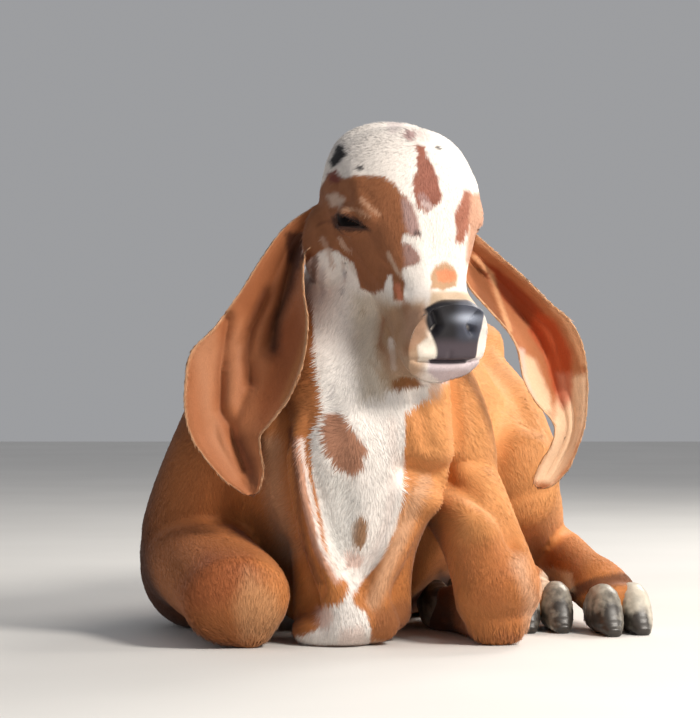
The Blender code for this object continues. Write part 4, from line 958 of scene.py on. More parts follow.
@dataclass
class Skin:
    """One skin over flesh, head and ears, under the coat's depth, and what grows from it."""

    flesh: Flesh
    head: Head
    ears: tuple[Ear, Ear]
    feet: list[Foot]
    tail: Tail
    body_depth: float = 0.0020
    head_rise: float = 0.0010
    ear_depth: float = 0.0006
    droop: float = -0.55
    obj: bpy.types.Object = field(init=False)
    limbs: list[Limb] = field(init=False)
    points: np.ndarray = field(init=False)
    normals: np.ndarray = field(init=False)
    sheet: np.ndarray = field(init=False)
    flow: np.ndarray = field(init=False)
    place: np.ndarray = field(init=False)
    limb: np.ndarray = field(init=False)
    on_head: np.ndarray = field(init=False)

    def build(self) -> None:
        """Makes the skin's mesh and reads from it what the coat needs."""
        self.obj, self.limbs = self.flesh.build(self.head, self.feet, self.tail)
        log.info("flesh: %d points", len(self.obj.data.vertices))
        self.head.model(self.obj)
        self.join_ears()
        self.survey()
        depth = self.depth()
        points = self.points - self.normals * depth[:, None]
        points[:, 2] = np.maximum(points[:, 2], 0.0002)
        put(self.obj, points)
        self.points, self.normals = coords(self.obj), normals_of(self.obj)
        self.obj.name = self.obj.data.name = "skin"
        self.obj.data.shade_smooth()

    def join_ears(self) -> None:
        """Grows both ears out of the head and rounds the crease at their roots."""
        trees = [BVHTree.FromPolygons(*self.polygons(self.obj))]
        for name in ("sheet", "flow"):
            paint(self.obj, name, np.zeros((len(self.obj.data.vertices), 3)))
        for ear in self.ears:
            sheet = ear.build()
            trees.append(BVHTree.FromPolygons(*self.polygons(sheet)))
            boolean(self.obj, sheet, "UNION")
        points = coords(self.obj)
        gaps = np.full((3, len(points)), 1.0)
        from_skull = np.linalg.norm(points - self.head.skull, axis=1)
        near = np.flatnonzero((points[:, 2] > 0.33) & (from_skull < 0.16))
        for row, tree in enumerate(trees):
            found = [tree.find_nearest(Vector(points[i]), 0.03)[3] for i in near]
            gaps[row, near] = [1.0 if gap is None else gap for gap in found]
        seam = np.maximum(gaps[0], np.minimum(gaps[1], gaps[2]))
        relax(self.obj, smoothstep(-seam, -0.010, -0.002), 12)

    @staticmethod
    def polygons(obj: bpy.types.Object) -> tuple[list, list]:
        """A mesh's points and faces as lists."""
        return [v.co.copy() for v in obj.data.vertices], [tuple(p.vertices) for p in obj.data.polygons]

    def attribute(self, name: str) -> np.ndarray:
        """A stored vector for each point."""
        values = np.empty(len(self.obj.data.vertices) * 3, np.float32)
        self.obj.data.attributes[name].data.foreach_get("vector", values)
        return values.reshape(-1, 3).astype(float)

    def survey(self) -> None:
        """Finds, for each point, the limb that it covers, its place round it and the hair's lie."""
        self.points, self.normals = coords(self.obj), normals_of(self.obj)
        self.sheet, stored = self.attribute("sheet"), self.attribute("flow")
        samples, ways, owners, alongs, reaches, lifts = [], [], [], [], [], []
        for number, limb in enumerate(self.limbs):
            rows = limb.rows()[:: max(1, limb.steps // 2)]
            tangent = unit(np.gradient(rows[:, :3], axis=0))
            samples.append(rows[:, :3])
            ways.append(tangent * limb.lie)
            owners.append(np.full(len(rows), number))
            alongs.append(np.linspace(0, 1, len(rows)))
            reaches.append(rows[:, 3:].mean(axis=1))
            lifts.append(unit(np.cross(tangent, limb.upright)))
        samples, ways, owners = np.vstack(samples), np.vstack(ways), np.concatenate(owners)
        alongs, reaches, lifts = np.concatenate(alongs), np.concatenate(reaches), np.vstack(lifts)
        count = len(self.points)
        self.flow, self.place = np.zeros((count, 3)), np.zeros((count, 2))
        self.limb = np.zeros(count, int)
        for start in range(0, count, 20000):
            piece = slice(start, min(start + 20000, count))
            points = self.points[piece]
            gap = np.linalg.norm(points[:, None] - samples[None], axis=2) / reaches[None]
            weight = np.exp(-(((gap - gap.min(axis=1, keepdims=True)) / 0.22) ** 2))
            self.flow[piece] = weight @ ways
            best = gap.argmin(axis=1)
            away = points - samples[best]
            across, tangent = lifts[best], unit(ways[best])
            angle = np.arctan2((away * np.cross(across, tangent)).sum(axis=1), (away * across).sum(axis=1))
            self.place[piece] = np.column_stack((0.5 + angle / (2 * math.pi), alongs[best]))
            self.limb[piece] = owners[best]
        self.on_head = self.head_share()
        f, left, u = self.head.local(self.points).T
        crown = np.column_stack((f - 0.012, left, u - 0.075))
        share = self.on_head[:, None]
        body = unit(self.flow) + np.array((0, 0, self.droop))
        self.flow = self.even_out(unit(body) * (1 - share) + unit(crown) @ self.head.turn * share, 60)
        ear = np.abs(self.sheet[:, 2]) > 0.5
        self.flow[ear] = stored[ear]
        across, along, face = self.sheet[ear].T
        self.place[ear] = np.column_stack((0.5 + 0.5 * across * face, along))
        flat = self.flow - self.normals * (self.flow * self.normals).sum(axis=1, keepdims=True)
        self.flow = unit(flat)

    def even_out(self, ways: np.ndarray, times: int) -> np.ndarray:
        """Smooths the hair's lie over the skin, so that it never parts in a star.

        Args:
            ways: One direction for each point.
            times: How many steps of smoothing.

        Returns:
            The smoothed directions along the skin.
        """
        ends = np.empty(len(self.obj.data.edges) * 2, np.int32)
        self.obj.data.edges.foreach_get("vertices", ends)
        a, b = ends.reshape(-1, 2).T
        count = np.maximum(np.bincount(ends, minlength=len(ways)), 1)[:, None]
        for _ in range(times):
            ways = ways - self.normals * (ways * self.normals).sum(axis=1, keepdims=True)
            sums = [np.bincount(a, w[b], len(w)) + np.bincount(b, w[a], len(w)) for w in ways.T]
            total = np.column_stack(sums)
            ways = 0.35 * ways + 0.65 * total / count
        return ways

    def head_share(self) -> np.ndarray:
        """1 on the head, 0 on the neck and body, eased over the nape and throat."""
        f, left, u = self.head.local(self.points).T
        inside = smoothstep(f, -0.105, -0.085) * smoothstep(-np.abs(left), -0.110, -0.090)
        return inside * smoothstep(u, -0.118, -0.098) * (np.abs(self.sheet[:, 2]) < 0.5)

    def bare(self) -> np.ndarray:
        """1 where no hair grows: nose pad, lips and the rims of the lids."""
        return self.bare_at(self.points, np.abs(self.sheet[:, 2]) > 0.5)

    def bare_at(self, points: np.ndarray, ear: np.ndarray) -> np.ndarray:
        """How bare the skin is at some points.

        Args:
            points: Rows of the calf's coordinates.
            ear: Which of them are on an ear.

        Returns:
            0 under hair to 1 on bare skin.
        """
        local = self.head.local(points)
        f, left, u = local.T
        side = np.abs(left)
        pad = smoothstep(f - self.head.nose_plane(u), -0.012, -0.0065)
        broad = 0.0350 - 0.0185 * smoothstep(-u, 0.014, 0.046) * (left < 0)
        pad *= smoothstep(broad - side, 0.0, 0.0035) * smoothstep(u, -0.0545, -0.0530)
        curl = 0.0045 * smoothstep(side, 0.02, 0.04)
        lips = np.exp(-(((u - self.head.mouth - curl) / 0.0042) ** 2))
        lips *= smoothstep(f, 0.168, 0.178) * smoothstep(0.027 - np.abs(left - 0.006), 0, 0.005)
        bare = np.maximum(pad, smoothstep(lips, 0.25, 0.6))
        for which in Side:
            flat, out = self.head.eye_coordinates(local, which)
            close = np.flatnonzero((np.abs(flat) < (0.03, 0.02)).all(axis=1) & (out > 0.006))
            gap = within(flat[close], self.head.slit)
            bare[close] = np.maximum(bare[close], smoothstep(gap, -0.0018, -0.0008))
        return bare * ~ear

    def depth(self) -> np.ndarray:
        """How deep the skin lies under the tips of the hair."""
        depth = self.body_depth - self.head_rise * self.on_head
        ear = np.abs(self.sheet[:, 2]) > 0.5
        depth[ear] = self.ear_depth
        return depth * (1 - self.bare())


# The coat


@dataclass(frozen=True)
class Nap:
    """How long the hair is on each part, in metres, and how much longer or shorter it gets."""

    body: float = 0.0080
    neck: float = 0.0066
    legs: float = 0.0070
    knees: float = 0.0030
    face: float = 0.0052
    muzzle: float = -0.0022
    poll: float = 0.0020
    jaw: float = 0.0015
    ear_inside: float = 0.0034
    ear_outside: float = 0.0046
    ear_rim: float = 0.0022
    foot: float = 0.0044
    nearest: float = 0.00125
    farthest: float = 0.00225


@dataclass
class Coat:
    """Short hair as solid tufts, each a flat blade with a crest, laid along the body."""

    skin: Skin
    hair: Nap = Nap()
    seed: int = 11
    most: int = 47000
    grid: float = 0.001
    surplus: float = 3.2
    crest: float = 0.38
    slim: float = 0.085
    turned: float = 0.42
    fringe: Line = ((-0.048, 0.21), (-0.04, 0.14), (-0.028, 0.085), (-0.01, 0.04))

    def nap(self) -> tuple[np.ndarray, np.ndarray, np.ndarray]:
        """How long the hair is at each point of the skin, how far apart it grows and how it stands.

        Returns:
            The lengths and the spacings, in metres, and how far it stands, 1 where it lies flat.
        """
        skin, hair = self.skin, self.hair
        points, share = skin.points, skin.on_head
        x, y, z = points.T
        zone = np.array([limb.zone.value for limb in skin.limbs])[skin.limb]
        f, left, u = skin.head.local(points).T
        length = np.where(zone == Zone.NECK.value, hair.neck, hair.body)
        legs = (zone == Zone.FORE_LEGS.value) | (zone == Zone.HIND_LEGS.value)
        length[legs | (zone == Zone.TAIL.value)] = hair.legs
        low = smoothstep(-z, -0.050, -0.012) * smoothstep(-y, -0.12, -0.06) * (np.abs(x - 0.01) > 0.072)
        fold = np.exp(-((distance(points[:, [0, 2]], np.array(self.fringe)) / 0.010) ** 2)) * (y < 0.06)
        stand = 1 + 1.3 * low + 0.35 * fold
        length += hair.knees * low
        face = hair.face + hair.muzzle * smoothstep(f, 0.06, 0.15)
        face += hair.poll * smoothstep(-f, -0.01, 0.02) + hair.jaw * smoothstep(-u, 0.05, 0.09)
        length = length * (1 - share) + face * share
        ear = np.abs(skin.sheet[:, 2]) > 0.5
        edge = np.minimum(skin.sheet[:, 0], 1 - skin.sheet[:, 0])
        rim = smoothstep(-edge, -0.06, -0.01)
        sides = np.where(skin.sheet[:, 2] > 0, hair.ear_inside, hair.ear_outside)
        length[ear] = (sides + hair.ear_rim * rim)[ear]
        stand = np.where(ear, 0.8 + 0.5 * rim, 1 + (stand - 1) * (1 - share))
        for foot in skin.feet:
            gap = np.linalg.norm(points - np.array(foot.origin), axis=1)
            short = hair.foot + 0.05 * np.clip(gap - 0.045, 0, 1)
            length = np.where(gap < 0.09, np.minimum(length, short), length)
        return length, np.clip(0.0007 + 0.17 * length, hair.nearest, hair.farthest), stand

    def scatter(self) -> dict[str, np.ndarray]:
        """Picks even random roots over the whole skin.

        Returns:
            For each root its place, normal, lie, length, zone and place on the unwrap.
        """
        skin, rng = self.skin, np.random.default_rng(self.seed)
        data = skin.obj.data
        data.calc_loop_triangles()
        corners = np.empty(len(data.loop_triangles) * 3, np.int32)
        data.loop_triangles.foreach_get("vertices", corners)
        corners = corners.reshape(-1, 3)
        length, spacing, stand = self.nap()
        a, b, c = (skin.points[corners[:, k]] for k in range(3))
        area = 0.5 * np.linalg.norm(np.cross(b - a, c - a), axis=1)
        gap = spacing[corners].mean(axis=1)
        want = self.surplus * area / gap**2
        count = np.floor(want + rng.random(len(want))).astype(int)
        pick = np.repeat(np.arange(len(corners)), count)
        rng.shuffle(pick)
        u, v = rng.random((2, len(pick)))
        flip = u + v > 1
        u, v = np.where(flip, 1 - u, u), np.where(flip, 1 - v, v)
        share = np.column_stack((1 - u - v, u, v))
        tri = corners[pick]

        def blend(values: np.ndarray) -> np.ndarray:
            """A point's values carried to the roots."""
            return np.einsum("ij,ij...->i...", share, values[tri])

        root, pitch = blend(skin.points), blend(spacing)
        level = np.round(np.log2(pitch / self.grid) * 3)
        cell = np.floor(root / (1.18 * self.grid * 2 ** (level / 3))[:, None]).astype(np.int64) + 4000
        key = ((level.astype(np.int64) * 8192 + cell[:, 0]) * 8192 + cell[:, 1]) * 8192 + cell[:, 2]
        keep = np.sort(np.unique(key, return_index=True)[1])
        bare = skin.bare_at(root[keep], np.abs(skin.sheet[tri[keep, 0], 2]) > 0.5)
        under = (root[keep, 2] < 0.004) & (blend(skin.normals)[keep, 2] < -0.5)
        keep = keep[(bare < 0.35) & ~under & ~self.on_claws(root[keep])]
        share, tri = share[keep], tri[keep]
        first = tri[:, 0]
        zones = np.array([limb.zone.value for limb in skin.limbs])[skin.limb[first]]
        zones = np.where(skin.on_head[first] > 0.5, Zone.HEAD.value, zones)
        zones = np.where(np.abs(skin.sheet[first, 2]) > 0.5, Zone.EARS.value, zones)
        return {
            "root": root[keep],
            "normal": unit(blend(skin.normals)),
            "flow": blend(skin.flow),
            "length": blend(length),
            "stand": blend(stand),
            "sheet": blend(skin.sheet),
            "place": skin.place[first],
            "limb": skin.limb[first],
            "zone": zones,
            "head": blend(skin.on_head),
        }

    def on_claws(self, roots: np.ndarray) -> np.ndarray:
        """Which roots the horn of the claws covers."""
        covered = np.zeros(len(roots), bool)
        for foot in self.skin.feet:
            toward, lateral, up = foot.axes()
            away = roots - np.array(foot.origin)
            along, wide, high = away @ toward, np.abs(away @ lateral), away @ up
            covered |= (along > -0.024) & (along < 0.05) & (wide < 0.036) & (high < 0.036) & (high > -0.01)
        return covered

    def blades(self, roots: dict[str, np.ndarray]) -> tuple[np.ndarray, np.ndarray]:
        """Shapes one tuft on each root.

        Args:
            roots: What scatter gives.

        Returns:
            Four points for each tuft, and the normals that shade them.
        """
        rng = np.random.default_rng(self.seed + 1)
        root, normal, length = roots["root"], roots["normal"], roots["length"]
        count = len(root)
        flow = roots["flow"] - normal * (roots["flow"] * normal).sum(axis=1, keepdims=True)
        flow = unit(flow)
        side = np.cross(normal, flow)
        swirl = 0.12 * rng.standard_normal(count) + 0.24 * mottle(root, 0.050, 3)
        way = flow * np.cos(swirl)[:, None] + side * np.sin(swirl)[:, None]
        side = np.cross(normal, way)
        length = length * (0.78 + 0.44 * rng.random(count))
        clump = 0.5 + 0.5 * mottle(root, 0.011, 5)
        wide = np.clip(self.slim * length, 0.00034, 0.00078)
        rise = length * (0.050 + 0.055 * clump + 0.035 * rng.random(count)) * roots["stand"]
        bend = length * 0.07 * rng.standard_normal(count) * roots["stand"]
        base = root - normal * 0.0003
        crest = root + way * (self.crest * length)[:, None] + normal * (0.42 * rise + 0.35 * wide)[:, None]
        tip = root + way * length[:, None] + normal * rise[:, None] + side * bend[:, None]
        half = side * wide[:, None]
        blades = np.stack((base + half, base - half, crest, tip), axis=1)
        blades[:, :, 2] = np.maximum(blades[:, :, 2], 0.0004)
        turn = self.turned * side
        return blades, unit(np.stack((normal + turn, normal - turn, normal, normal + 0.25 * way), axis=1))

    def build(self, colours: Markings) -> list[bpy.types.Object]:
        """Makes the coat's pieces.

        Args:
            colours: What colours each root.

        Returns:
            One object for each zone, or more where a zone has many tufts.
        """
        roots = self.scatter()
        points, turned = self.blades(roots)
        pelt = colours.at(roots["root"], roots["normal"], roots["sheet"], roots["head"])
        own = np.random.default_rng(self.seed + 2).random(len(points))
        pieces = []
        for zone in Zone:
            chosen = np.flatnonzero(roots["zone"] == zone.value)
            order = chosen[np.argsort(roots["root"][chosen, 1] - 0.3 * roots["root"][chosen, 2])]
            parts = max(1, math.ceil(len(order) / self.most))
            for number, part in enumerate(np.array_split(order, parts), 1):
                name = f"coat_{zone.name.lower()}" + (f"_{number}" if parts > 1 else "")
                shape = points[part], turned[part]
                pieces.append(tufts(name, shape, pelt[part], own[part], self.unwrap(roots, part)))
        return pieces

    def unwrap(self, roots: dict[str, np.ndarray], part: np.ndarray) -> np.ndarray:
        """Where each root lies on the unwrapped skin of its own limbs, ear faces or head."""
        key = np.where(roots["zone"][part] == Zone.HEAD.value, -1, roots["limb"][part])
        ear = roots["zone"][part] == Zone.EARS.value
        key = np.where(ear, 100 + (roots["root"][part, 0] > 0.04), key)
        names, index = np.unique(key, return_inverse=True)
        place = roots["place"][part].copy()
        head = key == -1
        if head.any():
            f, left, u = self.skin.head.local(roots["root"][part][head]).T
            angle = np.arctan2(left, u + 0.03) / (2 * math.pi) + 0.5
            place[head] = np.column_stack((angle, np.clip((f + 0.09) / 0.30, 0, 1)))
        columns = math.ceil(math.sqrt(len(names)))
        lines = math.ceil(len(names) / columns)
        corner = np.column_stack((index % columns / columns, index // columns / lines))
        inner = 0.01 + 0.98 * np.clip(place, 0, 1)
        return 0.003 + 0.994 * (corner + inner / (columns, lines))


# One tuft: its faces, the corners of its patch on the unwrap and how far each is from the root

BLADE = np.array(((0, 2, 3), (2, 1, 3), (1, 0, 3), (0, 1, 2)))
BLADE_PATCH = np.array(((-1, -1), (1, -1), (0, 0), (0, 1)))
BLADE_REACH = np.array((0, 0, 0.4, 1.0))


def tufts(
    name: str,
    shape: tuple[np.ndarray, np.ndarray],
    pelt: np.ndarray,
    own: np.ndarray,
    unwrap: np.ndarray,
    patch: float = 0.0015,
) -> bpy.types.Object:
    """One object of many blades, with the coat's attributes and its unwrap.

    Args:
        name: The object's name.
        shape: Four points for each blade, and their normals.
        pelt: A colour for each blade, with its bareness.
        own: A random number for each blade.
        unwrap: Where each blade's root lies on the unwrapped skin.
        patch: Half the width of a blade's patch on the unwrap.

    Returns:
        The linked object.
    """
    points, normals = shape
    count = len(points)
    corners = (np.arange(count)[:, None, None] * 4 + BLADE[None]).reshape(-1, 3)
    obj = mesh_from(name, points.reshape(-1, 3), corners)
    paint(obj, "pelt", np.repeat(pelt, 4, axis=0))
    paint(obj, "own", np.repeat(own, 4))
    paint(obj, "reach", np.tile(BLADE_REACH, count))
    layer = obj.data.uv_layers.new(name="OFBake")
    flat = (unwrap[:, None] + BLADE_PATCH[None] * patch).reshape(-1, 2)
    layer.uv.foreach_set("vector", np.ascontiguousarray(flat[corners.ravel()], np.float32).ravel())
    obj.data.shade_smooth()
    obj.data.normals_split_custom_set_from_vertices(normals.reshape(-1, 3).astype(np.float32))
    return obj


# Eyes, horn and long hair


@dataclass
class Eye:
    """An eyeball with its clear front standing out a little."""

    side: Side
    head: Head
    bulge: float = 0.0012
    clear: float = 0.5

    def build(self) -> bpy.types.Object:
        """Makes the ball and stores how far each point is from the pupil's middle."""
        middle, along, up, out = self.head.eye_frame(self.side)
        obj = ball(f"eyeball_{self.side.word}", (0, 0, 0), (1, 1, 1), 96, 64)
        points = coords(obj)
        angle = np.arccos(np.clip(points[:, 2], -1, 1))
        paint(obj, "gaze", points)
        radius = self.head.eye_radius + self.bulge * np.exp(-((angle / self.clear) ** 2))
        points = points * radius[:, None]
        x, y, z = np.split(points, 3, axis=1)
        placed = middle + x * along - y * up * self.side.value + z * out
        put(obj, self.head.world(placed))
        obj.data.shade_smooth()
        return obj


@dataclass
class Hooves:
    """The two claws of one foot."""

    foot: Foot

    def build(self) -> bpy.types.Object:
        """Lofts both claws, flat under the sole, and stores the place along and up each."""
        toward, lateral, up = self.foot.axes()
        pieces = []
        for which in (-1, 1):
            claw = self.foot.claw_form(which).build()
            points = coords(claw)
            away = points - np.array(self.foot.origin)
            along, high = away @ toward, away @ up
            ring = 0.0004 * np.sin(high * 900 + 2.0 * np.sin(along * 90 + which))
            points += normals_of(claw) * (ring * smoothstep(high, 0.004, 0.012))[:, None]
            points[:, 2] = np.maximum(points[:, 2], 0.0)
            put(claw, points)
            # lit: partly the horn's own pale colour, partly painted light, pale on top and on the outer
            # side and darker on the inner claw.
            lit = smoothstep(high, 0.010, 0.034) * smoothstep(-along, -0.036, -0.018)
            lit = np.maximum(lit, 0.9 * smoothstep(away @ lateral - which * self.foot.apart, 0.003, 0.011))
            paint(claw, "horn", np.column_stack((along, away @ lateral, high)))
            paint(claw, "lit", np.clip(lit * (1.0 if which > 0 else 0.6), 0, 1))
            pieces.append(claw)
        obj = join(f"hooves_{self.foot.name}", pieces)
        obj.data.shade_smooth()
        return obj


@dataclass
class Switch:
    """The tuft of long hair at the tail's end, in fine flat locks."""

    tail: Tail
    locks: int = 150
    seed: int = 5
    shortest: float = 0.070
    spread: float = 0.020
    half: float = 0.0016

    def build(self) -> bpy.types.Object:
        """Lays the locks from the tail's end along the floor.

        Returns:
            One object, each lock a bent blade in four lengths.
        """
        rng = np.random.default_rng(self.seed)
        end, ahead, across = self.tail.end()
        steps = np.linspace(0, 1, 7)
        points, corners, reach, own = [], [], [], []
        for number in range(self.locks):
            turn, lift = rng.uniform(-1, 1), rng.random()
            length = self.shortest + 0.042 * rng.random()
            start = -0.030 + 0.040 * rng.random()
            wave = rng.uniform(-1, 1)
            first = len(points) * 3
            for t in steps:
                middle = end + ahead * (start + length * t) + across * (
                    turn * (0.0075 + self.spread * t**1.5) + 0.004 * math.sin(3 * t + 6 * wave)
                )
                round_up = math.sqrt(max(0.0, 1 - turn**2))
                top = 0.010 + 0.011 * lift * round_up
                middle[2] = 0.0012 + top * (1 - t) ** 0.8 + 0.001 * lift
                wide = self.half * (1 - t) ** 0.6 + 0.0002
                points.append(
                    (middle + across * wide, middle - across * wide, middle + np.array((0, 0, 0.6 * wide)))
                )
                reach += [t] * 3
                own += [rng.random() if t == 0 else own[-1]] * 3
            for step in range(len(steps) - 1):
                for i in range(3):
                    a, b = first + 3 * step + i, first + 3 * step + (i + 1) % 3
                    corners += [(a, b, b + 3), (a, b + 3, a + 3)]
            last = first + 3 * len(steps)
            corners += [(first, first + 2, first + 1), (last - 3, last - 2, last - 1)]
        rows = np.array(points).reshape(-1, 3)
        rows[:, 2] = np.maximum(rows[:, 2], 0.0004)
        obj = mesh_from("switch_locks", rows, np.array(corners))
        paint(obj, "reach", np.array(reach))
        paint(obj, "own", np.array(own))
        obj.data.shade_smooth()
        return obj


# Colours and finishes


@dataclass(frozen=True)
class Patch:
    """One marking: an outline, or a line with a width, in a colour and with a soft edge."""

    colour: Colour
    outline: Line = ()
    line: Line = ()
    radius: float = 0.0
    soft: float = 1.6
    share: float = 1.0
    ragged: float = 1.8

    def reach(self, places: np.ndarray, rough: np.ndarray) -> np.ndarray:
        """How far the marking covers some places.

        Args:
            places: Rows of millimetres across and down, as seen from the front.
            rough: A random number for each, which frays the edge.

        Returns:
            0 outside to the marking's share inside.
        """
        shape = np.array(self.outline or self.line, float)
        low, high = shape.min(axis=0), shape.max(axis=0)
        margin = self.radius + 3 * self.soft + self.ragged
        near = np.all((places > low - margin) & (places < high + margin), axis=1)
        cover = np.zeros(len(places))
        if near.any():
            if self.outline:
                gap = within(places[near], shape)
            else:
                gap = self.radius - distance(places[near], shape)
            cover[near] = smoothstep(gap + self.ragged * rough[near], -self.soft, self.soft)
        return cover * self.share


RED_BROWN: Colour = (0.29, 0.108, 0.044)
TAN_BROWN: Colour = (0.5, 0.235, 0.105)
DARK_BROWN: Colour = (0.13, 0.042, 0.02)
PALE: Colour = (0.86, 0.8, 0.75)
CREAM: Colour = (0.82, 0.66, 0.5)
MAUVE: Colour = (0.42, 0.29, 0.28)
GREY: Colour = (0.5, 0.46, 0.46)
SLATE: Colour = (0.012, 0.011, 0.014)
PINK: Colour = (0.72, 0.44, 0.35)


